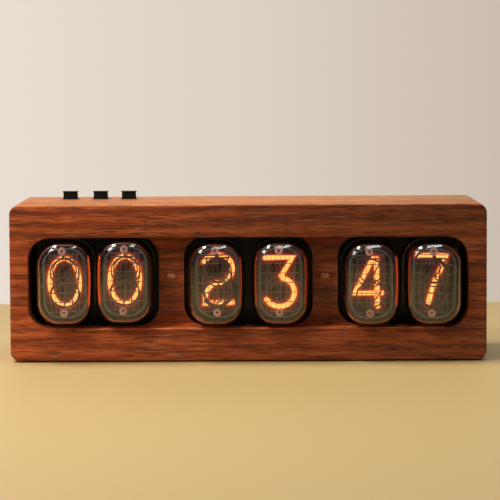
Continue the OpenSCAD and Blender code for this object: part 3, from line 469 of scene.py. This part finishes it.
def makeCase(s):
    bm = bmesh.new()
    edge = roundOver(s["edgeRound"])
    outer = wallRings(bm, s["width"], s["height"], s["cornerRadius"],
                      [(-inset, depth) for inset, depth in edge]
                      + [(-inset, s["depth"] - depth) for inset, depth in reversed(edge)])
    cavityWidth = s["width"] - 2 * s["sideWall"]
    cavityHeight = s["height"] - 2 * s["flatWall"]
    lip, small = s["panelLip"], s["rebateRound"]
    rebate = wallRings(bm,cavityWidth + 2 * lip, cavityHeight + 2 * lip, s["cavityRadius"] + lip,
                       [(small, s["depth"]), (small * 0.3, s["depth"] - small * 0.3),
                        (0, s["depth"] - small), (0, s["panelDepth"])])
    cavity = wallRings(bm,cavityWidth, cavityHeight, s["cavityRadius"],
                       [(0, s["panelDepth"]), (0, s["frontWall"])])
    bridgeRings(bm, outer + rebate + cavity)
    channel = [addRing(bm, channelLoop(s, grow), depth) for grow, depth in roundOver(s["channelRound"])]
    channel.append(addRing(bm, channelLoop(s), s["channelDepth"]))
    bridgeRings(bm, channel)
    windows = openings(bm, s, [roundedLoop(s["windowWidth"], s["windowHeight"], s["windowRadius"],
                                           s["windowSteps"], (i * s["windowPitch"], 0)) for i in (-1, 0, 1)])
    dots = openings(bm, s, [roundedLoop(s["dotWidth"], s["dotHeight"], s["dotHeight"] / 2 - hair, 8,
                                        (i * s["windowPitch"], s["dotZ"])) for i in (-0.5, 0.5)])
    # each bridge's face runs between the corners of its two windows
    for i, (left, right) in enumerate(zip(windows, windows[1:])):
        quarter = len(left[0]) // 4
        rightSide = left[0][3 * quarter:] + left[0][:quarter]
        leftSide = right[0][quarter:3 * quarter]
        fillFace(bm, [rightSide + leftSide, dots[i][0]])
    fillFace(bm, [outer[0], channel[0]])
    fillFace(bm, [cavity[-1]] + [w[-1] for w in windows] + [d[-1] for d in dots])
    bmesh.ops.remove_doubles(bm, verts=bm.verts, dist=1e-7)
    # ease the windows' own edges along the bridges
    floor = place(0, s["channelDepth"], 0).y
    eased = []
    for e in bm.edges:
        flat = all(abs(v.co.y - floor) < 1e-6 for v in e.verts)
        if flat and len(e.link_faces) == 2:
            depths = [sum(v.co.y for v in f.verts) / len(f.verts) - floor for f in e.link_faces]
            if max(depths) > 1e-4 and min(map(abs, depths)) < 1e-6:
                eased.append(e)
    bmesh.ops.bevel(bm, geom=eased, offset=s["windowEase"] * mm, segments=2, profile=0.5,
                    affect="EDGES", clamp_overlap=True)
    case = meshPiece("woodenCase", bm, wood, "root", False)
    # wells for the three buttons
    cutter = bmesh.new()
    for n in (1, 2, 3):
        low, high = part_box(f"button_{n}_cap")
        box = bmesh.ops.create_cube(cutter, size=1.0)
        size = s["buttonHole"] * mm
        middle = ((low.x + high.x) / 2, (low.y + high.y) / 2, place(0, 0, s["height"] / 2).z)
        shape = Matrix.Translation(middle) @ Matrix.Diagonal((size, size, s["cutterHeight"] * mm, 1))
        bmesh.ops.transform(cutter, matrix=shape, verts=box["verts"])
    cutMesh = bpy.data.meshes.new("wellCutter")
    cutter.to_mesh(cutMesh)
    cutter.free()
    cutObject = bpy.data.objects.new("wellCutter", cutMesh)
    bpy.context.scene.collection.objects.link(cutObject)
    cut = case.modifiers.new("wells", "BOOLEAN")
    cut.operation = "DIFFERENCE"
    cut.solver = "EXACT"
    cut.object = cutObject
    bpy.context.view_layer.update()
    baked = bpy.data.meshes.new_from_object(case.evaluated_get(bpy.context.evaluated_depsgraph_get()))
    case.modifiers.clear()
    case.data = baked
    bpy.data.objects.remove(cutObject)
    baked.shade_smooth()
    baked.set_sharp_from_angle(angle=math.radians(32))
    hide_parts("case")


makeCase(caseSizes)
print("case made")

# the glass envelopes, with slightly crowned faces
glassSizes = {"wall": 1.0, "radius": 8.5, "frontRadius": 3.4, "crown": 0.35, "steps": 10}


def envelopeRings(bm, centre, width, height, radius, frontRadius, rear, frontDepth, crown, steps):
    rings = [addRing(bm, roundedLoop(width, height, radius, steps, centre), rear)]
    for k in range(steps + 1):
        a = math.radians(90 * k / steps)
        inset = frontRadius * (1 - math.cos(a))
        depth = frontDepth + crown + frontRadius - frontRadius * math.sin(a)
        rings.append(addRing(bm, roundedLoop(width - 2 * inset, height - 2 * inset, radius - inset,
                                             steps, centre), depth))
    flatWidth = width - 2 * frontRadius
    flatHeight = height - 2 * frontRadius
    for share in (0.85, 0.68, 0.5, 0.32, 0.15):
        rings.append(addRing(bm, roundedLoop(flatWidth * share, flatHeight * share,
                                             (radius - frontRadius) * share, steps, centre),
                             frontDepth + crown * share * share))
    bridgeRings(bm, rings)
    fillFan(bm, rings[-1], place(centre[0], frontDepth, centre[1]))
    return rings[0]


def makeEnvelope(n, s):
    low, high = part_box(f"tube_{n}_envelope")
    centre = ((low.x + high.x) / 2 / mm, (low.z + high.z) / 2 / mm - midZ)
    width, height = (high.x - low.x) / mm, (high.z - low.z) / mm
    front, rear = low.y / mm - frontY, high.y / mm - frontY
    bm = bmesh.new()
    outer = envelopeRings(bm, centre, width, height, s["radius"], s["frontRadius"], rear, front,
                          s["crown"], s["steps"])
    inner = envelopeRings(bm, centre, width - 2 * s["wall"], height - 2 * s["wall"], s["radius"] - s["wall"],
                          s["frontRadius"] - s["wall"] * 0.8, rear, front + s["wall"], s["crown"], s["steps"])
    bridgeRings(bm, [outer, inner])
    tube = meshPiece(f"tubeGlass{n}", bm, envelopeGlass, "root", True, 60)
    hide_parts(f"tube_{n}_envelope")


for n in tubeNumbers:
    makeEnvelope(n, glassSizes)
print("glass made")

# the glowing digits: a bright wire in ever wider and fainter shells
glowSizes = {
    "reading": "002347", "width": 10.8, "height": 18.0,
    # name, radius, colour, strength and opacity
    "shells": (
        ("Core", 0.80, (1.0, 0.47, 0.125), 2.6, 1.0),
        ("Sheath", 1.08, (1.0, 0.19, 0.020), 1.8, 0.34),
        ("Halo", 1.70, (1.0, 0.075, 0.015), 0.9, 0.17),
        ("Haze", 3.00, (1.0, 0.10, 0.085), 0.5, 0.055),
    ),
    "sides": 12,
}


def arcPath(centre, radii, start, end, steps=20):
    points = []
    for k in range(steps + 1):
        a = math.radians(start + (end - start) * k / steps)
        points.append((centre[0] + radii[0] * math.cos(a), centre[1] + radii[1] * math.sin(a)))
    return points


# strokes in half widths and half heights of a digit, and whether each closes
digitPaths = {
    "0": [(arcPath((-0.06, 0), (1.03, 1), 0, 360, 48)[:-1], True)],
    "2": [(arcPath((0, 0.53), (1.06, 0.58), 150, -42) + arcPath((0.05, -0.72), (0.97, 0.64), 80, 185)
           + [(-0.95, -0.93), (0.98, -0.93)], False)],
    "3": [([(-1.07, 1.03), (0.84, 1.03), (0.05, 0.28)]
           + arcPath((-0.09, -0.42), (1.04, 0.6), 78, -150), False)],
    "4": [([(0.78, -0.44), (-1.14, -0.44), (0.16, 1), (0.41, 1)], False), ([(0.41, 1), (0.45, -1)], False)],
    "7": [([(-1.24, 1.1), (0.86, 1.1), (0.48, 0.5), (0.18, 0.1), (-0.05, -0.3), (-0.3, -0.95)], False)],
}


def sweepRound(bm, points, radius, sides, closed):
    count = len(points)
    rings = []
    for i, p in enumerate(points):
        before = points[(i - 1) % count] if closed or i > 0 else None
        after = points[(i + 1) % count] if closed or i < count - 1 else None
        first = (p - before).normalized() if before is not None else None
        second = (after - p).normalized() if after is not None else None
        first = first or second
        second = second or first
        along = (first + second).normalized()
        stretch = 1 / max(0.6, first.dot(along))
        side = Vector((along.z, 0, -along.x))
        rings.append((p, along, side, stretch))
    loops = []

    def addLoop(p, side, stretch, size):
        loops.append([])
        for k in range(sides):
            a = 2 * math.pi * k / sides
            point = p + side * (math.cos(a) * size * stretch) + Vector((0, math.sin(a) * size, 0))
            loops[-1].append(bm.verts.new(point))

    def addEnd(ring, way, angles):
        p, along, side, stretch = ring
        for angle in angles:
            a = math.radians(angle)
            addLoop(p + along * (way * radius) * math.sin(a), side, 1, radius * math.cos(a))

    if not closed:
        addEnd(rings[0], -1, (75, 50, 25))
    for p, along, side, stretch in rings:
        addLoop(p, side, stretch, radius)
    if not closed:
        addEnd(rings[-1], 1, (25, 50, 75))
        bm.faces.new(loops[0])
        bm.faces.new(loops[-1])
    bridgeRings(bm, loops + loops[:1] if closed else loops)


def digitPoints(n, path, s):
    low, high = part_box(f"tube_{n}_anode")
    centre = Vector(((low.x + high.x) / 2, 0, (low.z + high.z) / 2))
    litLow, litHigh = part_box(f"tube_{n}_lit_digit")
    turn = Matrix.Rotation(math.radians(tubeTurns[n - 1]), 4, "Y")
    points = []
    for x, z in path:
        flat = Vector((x * s["width"] / 2 * mm, 0, z * s["height"] / 2 * mm))
        point = centre + turn @ flat
        point.y = (litLow.y + litHigh.y) / 2
        points.append(point)
    return points


def makeGlow(s):
    for label, radius, colour, strength, alpha in s["shells"]:
        material = glowFinish(f"neonGlow{label}", colour, strength, alpha)
        bm = bmesh.new()
        for n in tubeNumbers:
            for path, closed in digitPaths[s["reading"][n - 1]]:
                sweepRound(bm, digitPoints(n, path, s), radius * mm, s["sides"], closed)
        piece = meshPiece(f"digitGlow{label}", bm, material, "root")
        if alpha < 1:
            piece.visible_shadow = False


makeGlow(glowSizes)
print("glow made")

# domed ends of the two light dots
dotSizes ={"width": 3.6, "height": 2.0, "proud": 0.4, "sink": 1.0}


def makeDots(s):
    bm = bmesh.new()
    for side in (-0.5, 0.5):
        centre = (side * caseSizes["windowPitch"], caseSizes["dotZ"])
        floor = caseSizes["channelDepth"]
        rings = [addRing(bm, roundedLoop(s["width"], s["height"], s["height"] / 2 - hair, 10, centre),
                         floor + s["sink"])]
        for angle in range(0, 90, 10):
            a = math.radians(angle)
            shrink = s["height"] / 2 * (1 - math.cos(a))
            rings.append(addRing(bm, roundedLoop(s["width"] - 2 * shrink, s["height"] - 2 * shrink,
                                                 s["height"] / 2 * math.cos(a) - hair, 10, centre),
                                 floor - s["proud"] * math.sin(a)))
        bridgeRings(bm, rings)
        fillFace(bm, [rings[-1]])
        fillFace(bm, [rings[0]])
    meshPiece("separatorDomes", bm, pipePlastic, "root", True, 50)


makeDots(dotSizes)

# the button caps
capSizes = {"flange": 1.2, "gap": 0.3, "corner": 0.45, "rim": 0.35, "dish": 0.35, "dishRings": 6, "steps": 4}


def makeCap(n, s):
    # a flange under the wood, a square neck that draws in and flares to its rim, and a dished top
    low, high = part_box(f"button_{n}_cap")
    low, high = Vector(low) / mm, Vector(high) / mm
    x, y = (low.x + high.x) / 2, (low.y + high.y) / 2
    wide, neck = high.x - low.x, high.y - low.y
    shoulder, top = low.z + s["flange"], high.z
    levels = [(wide, neck - 2 * s["gap"], low.z), (wide, neck - 2 * s["gap"], shoulder), (neck, neck, shoulder)]
    for inset, along in roundOver(s["rim"], s["steps"]):
        levels.append((neck - 2 * inset, neck - 2 * inset, top - s["rim"] + along))
    dished = neck - 2 * s["rim"]
    for k in range(1, s["dishRings"]):
        left = 1 - k / s["dishRings"]
        levels.append((dished * left, dished * left, top - s["dish"] * (1 - left * left)))
    bm = bmesh.new()
    rings = []
    for width, length, z in levels:
        corner = min(s["corner"], width * 0.45)
        rings.append([bm.verts.new(Vector((x + px, y + py, z)) * mm)
                      for px, py in roundedLoop(width, length, corner, s["steps"])])
    bridgeRings(bm, rings)
    bm.faces.new(rings[0])
    fillFan(bm, rings[-1], Vector((x, y, top - s["dish"])) * mm)
    cap = meshPiece(f"buttonTop{n}", bm, blackPlastic, f"button_{n}", True, 38)
    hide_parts(f"button_{n}_cap")


for n in (1, 2, 3):
    makeCap(n, capSizes)
print("buttons and dots made")


def startTree(name, inputs):
    # a geometry nodes tree with named inputs for its sizes
    tree = bpy.data.node_groups.new(name, "GeometryNodeTree")
    tree.interface.new_socket("Geometry", in_out="INPUT", socket_type="NodeSocketGeometry")
    tree.interface.new_socket("Geometry", in_out="OUTPUT", socket_type="NodeSocketGeometry")
    for label, value in inputs.items():
        kind = "NodeSocketInt" if isinstance(value, int) else "NodeSocketFloat"
        tree.interface.new_socket(label, in_out="INPUT", socket_type=kind).default_value = value
    tree.interface.new_socket("Material", in_out="INPUT", socket_type="NodeSocketMaterial")
    return tree, tree.nodes.new("NodeGroupInput"), tree.nodes.new("NodeGroupOutput")


def shifted(tree, geometry, z=None, turn=None, flat=None):
    move = tree.nodes.new("GeometryNodeTransform")
    tree.links.new(geometry, move.inputs["Geometry"])
    if z is not None:
        along = tree.nodes.new("ShaderNodeCombineXYZ")
        if isinstance(z, bpy.types.NodeSocket):
            tree.links.new(z, along.inputs["Z"])
        else:
            along.inputs["Z"].default_value = z
        tree.links.new(along.outputs[0], move.inputs["Translation"])
    if turn is not None:
        move.inputs["Rotation"].default_value = turn
    if flat is not None:
        move.inputs["Scale"].default_value = flat
    return move.outputs["Geometry"]


def finishTree(tree, entry, leave, shape, turned=False, stretched=False):
    # puts the shape at every point, then makes it real and gives it its finish
    spread = tree.nodes.new("GeometryNodeInstanceOnPoints")
    tree.links.new(entry.outputs["Geometry"], spread.inputs["Points"])
    tree.links.new(shape, spread.inputs["Instance"])
    if turned:
        angles = addNode(tree, "GeometryNodeInputNamedAttribute", data_type="FLOAT_VECTOR", Name="turn")
        toTurn = tree.nodes.new("FunctionNodeEulerToRotation")
        tree.links.new(angles.outputs["Attribute"], toTurn.inputs["Euler"])
        tree.links.new(toTurn.outputs[0], spread.inputs["Rotation"])
    if stretched:
        reach = addNode(tree, "GeometryNodeInputNamedAttribute", data_type="FLOAT_VECTOR", Name="stretch")
        tree.links.new(reach.outputs["Attribute"], spread.inputs["Scale"])
    real = tree.nodes.new("GeometryNodeRealizeInstances")
    tree.links.new(spread.outputs["Instances"], real.inputs["Geometry"])
    coat = tree.nodes.new("GeometryNodeSetMaterial")
    tree.links.new(real.outputs["Geometry"], coat.inputs["Geometry"])
    tree.links.new(entry.outputs["Material"], coat.inputs["Material"])
    tree.links.new(coat.outputs["Geometry"], leave.inputs["Geometry"])


def runTree(name, tree, places, values, material, turns=None, stretches=None, replacing=None):
    mesh = bpy.data.meshes.new(name)
    mesh.from_pydata([tuple(p) for p in places], [], [])
    for label, vectors in (("turn", turns), ("stretch", stretches)):
        if vectors:
            attribute = mesh.attributes.new(label, "FLOAT_VECTOR", "POINT")
            attribute.data.foreach_set("vector", [v for vector in vectors for v in vector])
    carrier = bpy.data.objects.new(name + "Places", mesh)
    bpy.context.scene.collection.objects.link(carrier)
    modifier = carrier.modifiers.new("build", "NODES")
    modifier.node_group = tree
    for item in tree.interface.items_tree:
        if item.item_type == "SOCKET" and item.in_out == "INPUT":
            if item.name == "Material":
                modifier[item.identifier] = material
            elif item.name in values:
                modifier[item.identifier] = values[item.name]
    bpy.context.view_layer.update()
    made = bpy.data.meshes.new_from_object(carrier.evaluated_get(bpy.context.evaluated_depsgraph_get()))
    carrier.modifiers.clear()
    bpy.data.objects.remove(carrier)
    made.name = name
    piece = finishPiece(name, made, None, "root", True, 35)
    if replacing:
        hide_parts(replacing)
    return piece


# straight wires of the six anode grids, each as long as the can's rounded outline lets it be
gridSizes = {
    "width": 16.4, "height": 26.4, "radius": 6.5, "inset": 0.3, "behindFront": 0.12,
    "pitchX": 1.75, "pitchZ": 3.6, "wire": 0.2, "sides": 6,
}


def wireTree():
    tree, entry, leave = startTree("gridWires", {"Wire": 0.0002, "Sides": 6})
    rod = addNode(tree, "GeometryNodeMeshCylinder", Depth=1.0)
    tree.links.new(entry.outputs["Sides"], rod.inputs["Vertices"])
    tree.links.new(arithmetic(tree, "MULTIPLY", entry.outputs["Wire"], 0.5), rod.inputs["Radius"])
    finishTree(tree, entry, leave, rod.outputs["Mesh"], True, True)
    return tree


def reachAt(offset, half, across, radius):
    # half the free length of a wire that lies this far from the middle
    over = abs(offset) - (across - radius)
    if over <= 0:
        return half
    return half - radius + math.sqrt(max(0.0, radius * radius - over * over))


def makeGrids(s):
    places, turns, stretches = [], [], []
    halfW, halfH = s["width"] / 2 - s["inset"], s["height"] / 2 - s["inset"]
    # upright wires, then level ones: way, turn, spread, spacing, and half the can along and across them
    sets = ((Vector((1, 0, 0)), 0.0, s["width"], s["pitchX"], halfH, halfW),
            (Vector((0, 0, 1)), math.pi / 2, s["height"], s["pitchZ"], halfW, halfH))
    for n in tubeNumbers:
        low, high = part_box(f"tube_{n}_anode")
        middle = Vector(((low.x + high.x) / 2, low.y + s["behindFront"] * mm, (low.z + high.z) / 2))
        lean = math.radians(tubeTurns[n - 1])
        turn = Matrix.Rotation(lean, 4, "Y")
        for way, quarter, spread, pitch, half, across in sets:
            most = int(spread / pitch / 2)
            for i in range(-most, most + 1):
                reach = reachAt(i * pitch, half, across, s["radius"])
                places.append(middle + turn @ (way * (i * pitch * mm)))
                turns.append((0.0, lean + quarter, 0.0))
                stretches.append((1.0, 1.0, 2 * reach * mm))
    runTree("anodeGrids", wireTree(), places, {"Wire": s["wire"] * mm, "Sides": s["sides"]},
            wireMetal, turns, stretches)


makeGrids(gridSizes)

# rings and dark centres on the rivets at the two ends of every grid
rivetSizes = {
    "ring": 1.12, "thickness": 0.26, "eye": 0.42, "eyeFlat": 0.45,
    "postLeft": 0.6, "postUp": 11.6, "headLift": 0.4,
}


def ringTree():
    tree, entry, leave = startTree("rivetRings", {"Ring": 0.001, "Thickness": 0.0003})
    path = addNode(tree, "GeometryNodeCurvePrimitiveCircle", Resolution=24)
    tree.links.new(entry.outputs["Ring"], path.inputs["Radius"])
    section = addNode(tree, "GeometryNodeCurvePrimitiveCircle", Resolution=8)
    tree.links.new(arithmetic(tree, "MULTIPLY", entry.outputs["Thickness"], 0.5), section.inputs["Radius"])
    swept = tree.nodes.new("GeometryNodeCurveToMesh")
    tree.links.new(path.outputs["Curve"], swept.inputs["Curve"])
    tree.links.new(section.outputs["Curve"], swept.inputs["Profile Curve"])
    upright = shifted(tree, swept.outputs["Mesh"], turn=(math.radians(90), 0, 0))
    finishTree(tree, entry, leave, upright)
    return tree


def eyeTree():
    tree, entry, leave = startTree("rivetEyes", {"Radius": 0.0004})
    bead = addNode(tree, "GeometryNodeMeshUVSphere", Segments=14, Rings=7)
    tree.links.new(entry.outputs["Radius"], bead.inputs["Radius"])
    finishTree(tree, entry, leave, shifted(tree, bead.outputs["Mesh"], flat=(1, rivetSizes["eyeFlat"], 1)))
    return tree


def headPlaces(s):
    places = []
    for n in tubeNumbers:
        low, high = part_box(f"tube_{n}_anode")
        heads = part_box("tube_posts")[0].y
        middle = Vector(((low.x + high.x) / 2, heads, (low.z + high.z) / 2))
        turn = Matrix.Rotation(math.radians(tubeTurns[n - 1]), 4, "Y")
        for end in (-1, 1):
            places.append(middle + turn @ Vector((-s["postLeft"] * mm, 0,
                                                  (s["headLift"] + end * s["postUp"]) * mm)))
    return places


runTree("rivetRings", ringTree(), headPlaces(rivetSizes),
        {"Ring": rivetSizes["ring"] * mm, "Thickness": rivetSizes["thickness"] * mm}, rivetMetal)
runTree("rivetEyes", eyeTree(), headPlaces(rivetSizes), {"Radius": rivetSizes["eye"] * mm}, rivetDark)


# turned discs with an eased edge: the feet, and with a six-sided recess the back panel's screws
def discTree(name, recessed):
    tree, entry, leave = startTree(name, {"Radius": 0.005, "Foot Radius": 0.005, "Height": 0.0015,
                                          "Ease": 0.0003, "Recess": 0.001, "Segments": 48})
    links = tree.links

    def band(lower, upper, depth, at):
        cone = addNode(tree, "GeometryNodeMeshCone", fill_type="NONE")
        links.new(entry.outputs["Segments"], cone.inputs["Vertices"])
        links.new(lower, cone.inputs["Radius Bottom"])
        links.new(upper, cone.inputs["Radius Top"])
        links.new(depth, cone.inputs["Depth"])
        return shifted(tree, cone.outputs["Mesh"], z=at)

    def lid(radius, at, flip):
        disc = addNode(tree, "GeometryNodeMeshCircle", fill_type="NGON")
        links.new(entry.outputs["Segments"], disc.inputs["Vertices"])
        links.new(radius, disc.inputs["Radius"])
        made = disc.outputs["Mesh"]
        if flip:
            turnOver = tree.nodes.new("GeometryNodeFlipFaces")
            links.new(made, turnOver.inputs["Mesh"])
            made = turnOver.outputs["Mesh"]
        return shifted(tree, made, z=at)

    radius, foot, height, ease = (entry.outputs[k] for k in ("Radius", "Foot Radius", "Height", "Ease"))
    straight = arithmetic(tree, "SUBTRACT", height, ease)
    rim = arithmetic(tree, "SUBTRACT", radius, ease)
    join = tree.nodes.new("GeometryNodeJoinGeometry")
    for part in (band(foot, radius, straight, 0.0), band(radius, rim, ease, straight),
                 lid(rim, height, False), lid(foot, 0.0, True)):
        links.new(part, join.inputs["Geometry"])
    merge = addNode(tree, "GeometryNodeMergeByDistance", Distance=1e-6)
    links.new(join.outputs["Geometry"], merge.inputs["Geometry"])
    shape = merge.outputs["Geometry"]
    if recessed:
        key = addNode(tree, "GeometryNodeMeshCylinder", Vertices=6)
        links.new(entry.outputs["Recess"], key.inputs["Radius"])
        links.new(height, key.inputs["Depth"])
        carve = addNode(tree, "GeometryNodeMeshBoolean", operation="DIFFERENCE", solver="EXACT")
        links.new(shape, carve.inputs["Mesh 1"])
        links.new(shifted(tree, key.outputs["Mesh"], z=height), carve.inputs["Mesh 2"])
        shape = carve.outputs["Mesh"]
    finishTree(tree, entry, leave, shape, True)
    return tree


footSizes = {"radius": 5.0, "proud": 0.5, "recess": 1.0, "ease": 0.2, "endInset": 14.0, "faceInset": 10.0}
footPlaces = []
for side in (-1, 1):
    for depth in (footSizes["faceInset"], caseSizes["depth"] - footSizes["faceInset"]):
        spot = place(side * (caseSizes["width"] / 2 - footSizes["endInset"]), depth, 0)
        spot.z = (footSizes["proud"] + footSizes["recess"]) * mm
        footPlaces.append(spot)
runTree("rubberFeet", discTree("easedDiscs", False), footPlaces,
        {"Radius": footSizes["radius"] * mm, "Foot Radius": footSizes["radius"] * mm,
         "Height": (footSizes["proud"] + footSizes["recess"]) * mm, "Ease": footSizes["ease"] * mm,
         "Segments": 64},
        padRubber, turns=[(math.pi, 0.0, 0.0)] * len(footPlaces), replacing="foot_pads")

screwSizes = {"head": 2.4, "shank": 1.25, "height": 1.6, "ease": 0.12, "recess": 0.96, "x": 78.5, "z": 19.75}
screwPlaces = [place(sx * screwSizes["x"], caseSizes["depth"] - screwSizes["height"], sz * screwSizes["z"])
               for sx in (-1, 1) for sz in (-1, 1)]
runTree("panelScrews", discTree("recessedScrews", True), screwPlaces,
        {"Radius": screwSizes["head"] * mm, "Foot Radius": screwSizes["shank"] * mm,
         "Height": screwSizes["height"] * mm, "Ease": screwSizes["ease"] * mm,
         "Recess": screwSizes["recess"] * mm, "Segments": 40},
        blackSteel, turns=[(math.radians(-90), 0.0, 0.0)] * len(screwPlaces),
        replacing="back_panel_screws")
print("grids, rivets, feet and screws made")

# painted reflections: glowing strips stand in for the digits' glow caught in the glass edges
streakLook = {
    # tube, side and strength of what shows there
    "lines": ((1, 1, 0.65), (2, -1, 0.65), (5, 1, 0.4), (6, -1, 0.2), (3, 1, 0.2), (4, -1, 0.2),
              (4, 1, 0.2)),
    "layers": (1.0, 0.66, 0.33),  # shares of the radius, the inner ones a little longer
    "out": 9.3, "low": -7.0, "high": 9.6, "radius": 0.42, "behindFront": 2.4, "steps": 12, "bend": 0.35,
    "colour": (1.0, 0.085, 0.014), "alpha": 0.36,
}


def makeStreaks(s):
    for level in sorted({line[2] for line in s["lines"]}):
        bm = bmesh.new()
        for n, side, strength in s["lines"]:
            if strength != level:
                continue
            low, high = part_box(f"tube_{n}_envelope")
            x = (low.x + high.x) / 2 + side * s["out"] * mm
            z = (low.z + high.z) / 2
            for layer in s["layers"]:
                longer = 1.25 - layer * 0.25
                points = []
                for k in range(s["steps"] + 1):
                    t = k / s["steps"]
                    rise = s["low"] + (s["high"] - s["low"]) * (0.5 + (t - 0.5) * longer)
                    bend = side * s["bend"] * (2 * t - 1) ** 2
                    points.append(Vector((x - bend * mm, low.y + s["behindFront"] * mm, z + rise * mm)))
                sweepRound(bm, points, s["radius"] * layer * mm, 8, False)
        # glowing strips as painted reflection of the neighbouring glow in the glass
        label = f"paintedEdgeReflection{int(level * 100):03d}"
        meshPiece(label, bm, glowFinish(label, s["colour"], 1.1 * level, s["alpha"]), "root")


makeStreaks(streakLook)
print("edge glow made")

# the floor, the backdrop and the light all round
stageLook = {
    "floor": (0.535, 0.375, 0.152), "floorRough": 0.55,
    "tableBack": 202.0,  # mm
    # the backdrop is lighter at the left: painted falloff of the light from the left
    "backdrop": ((0.0, (0.81, 0.73, 0.64)), (0.5, (0.72, 0.64, 0.54)), (1.0, (0.60, 0.51, 0.42))),
    "wall": (0.74, 0.65, 0.55),  # seen past the backdrop
    "ambient": 0.11, "ambientColour": (1.0, 0.95, 0.88),
}


def flatSheet(name, corners, material):
    bm = bmesh.new()
    for corner in corners:
        bm.verts.new(corner)
    bm.faces.new(bm.verts)
    mesh = bpy.data.meshes.new(name)
    bm.to_mesh(mesh)
    bm.free()
    sheet = bpy.data.objects.new(name, mesh)
    sheet.data.materials.append(material)
    bpy.context.scene.collection.objects.link(sheet)


def makeStage(s):
    back = s["tableBack"] * mm
    floor, tree, shader = blankMaterial("paleFloor")
    shader.inputs["Base Color"].default_value = (*s["floor"], 1)
    shader.inputs["Roughness"].default_value = s["floorRough"]
    flatSheet("floor", ((-3, -3, 0), (3, -3, 0), (3, back, 0), (-3, back, 0)), floor)
    wall, tree, shader = blankMaterial("paleBackdrop")
    shader.inputs["Base Color"].default_value = (0, 0, 0, 1)
    shader.inputs["Specular IOR Level"].default_value = 0.0
    # the backdrop glows by itself and darkens towards the right as painted falloff of the light
    colour = rampOf(tree, fadeOf(tree, splitCoords(tree)["X"], -0.32, 0.32), s["backdrop"])
    tree.links.new(colour, shader.inputs["Emission Color"])
    shader.inputs["Emission Strength"].default_value = 1.0
    flatSheet("backdrop", ((-2, 2.2, -1), (2, 2.2, -1), (2, 2.2, 1.6), (-2, 2.2, 1.6)), wall)
    world = bpy.data.worlds.new("room")
    bpy.context.scene.world = world
    world.use_nodes = True
    tree = world.node_tree
    tree.nodes.clear()
    output = tree.nodes.new("ShaderNodeOutputWorld")
    seen = addNode(tree, "ShaderNodeBackground", Color=(*s["wall"], 1), Strength=1.0)
    lit = addNode(tree, "ShaderNodeBackground", Color=(*s["ambientColour"], 1), Strength=s["ambient"])
    path = tree.nodes.new("ShaderNodeLightPath")
    mix = tree.nodes.new("ShaderNodeMixShader")
    tree.links.new(path.outputs["Is Camera Ray"], mix.inputs["Fac"])
    tree.links.new(lit.outputs[0], mix.inputs[1])
    tree.links.new(seen.outputs[0], mix.inputs[2])
    tree.links.new(mix.outputs[0], output.inputs["Surface"])


lampLook = {
    # place, aim, width, depth, watts, colour
    "ceilingLeft": ((-0.34, 0.02, 0.95), (-0.03, 0, 0.03), 0.46, 0.18, 7.0, (1.0, 0.94, 0.86)),
    "ceilingRight": ((0.13, -0.05, 1.0), (0.0, 0, 0.03), 0.80, 0.12, 3.2, (0.88, 0.94, 1.0)),
    "upperLeft": ((-0.26, -0.26, 0.36), (0, 0, 0.03), 0.12, 0.12, 1.15, (1.0, 0.94, 0.86)),
}


def makeLamps(lamps):
    for name, (at, aim, width, depth, watts, colour) in lamps.items():
        light = bpy.data.lights.new(name, "AREA")
        light.shape = "RECTANGLE"
        light.size, light.size_y = width, depth
        light.energy = watts
        light.color = colour
        lamp = bpy.data.objects.new(name, light)
        bpy.context.scene.collection.objects.link(lamp)
        lamp.location = at
        lamp.rotation_euler = (Vector(aim) - Vector(at)).to_track_quat("-Z", "Y").to_euler()


makeStage(stageLook)
makeLamps(lampLook)

cameraFit = {
    "place": (1.305, -962.198, 113.216), "pitch": -4.332, "yaw": 0.037, "roll": 0.266,
    "focalPixels": 2489.06, "framePixels": 500.0, "sensor": 36.0,
}


def makeCamera(s):
    camera = bpy.data.cameras.new("photoView")
    camera.sensor_width = s["sensor"]
    camera.lens = s["focalPixels"] / s["framePixels"] * s["sensor"]
    camera.clip_start = 0.01
    camera.clip_end = 20.0
    eye = bpy.data.objects.new("photoView", camera)
    bpy.context.scene.collection.objects.link(eye)
    turn = (Matrix.Rotation(math.radians(s["yaw"]), 4, "Z")
            @ Matrix.Rotation(math.radians(s["pitch"]), 4, "X")
            @ Matrix.Rotation(math.radians(s["roll"]), 4, "Y")
            @ Matrix.Rotation(math.radians(90), 4, "X"))
    eye.matrix_world = Matrix.Translation(Vector(s["place"]) * mm) @ turn
    bpy.context.scene.camera = eye


makeCamera(cameraFit)
bpy.context.scene.view_settings.view_transform = "Standard"
print("stage, lights and camera set")
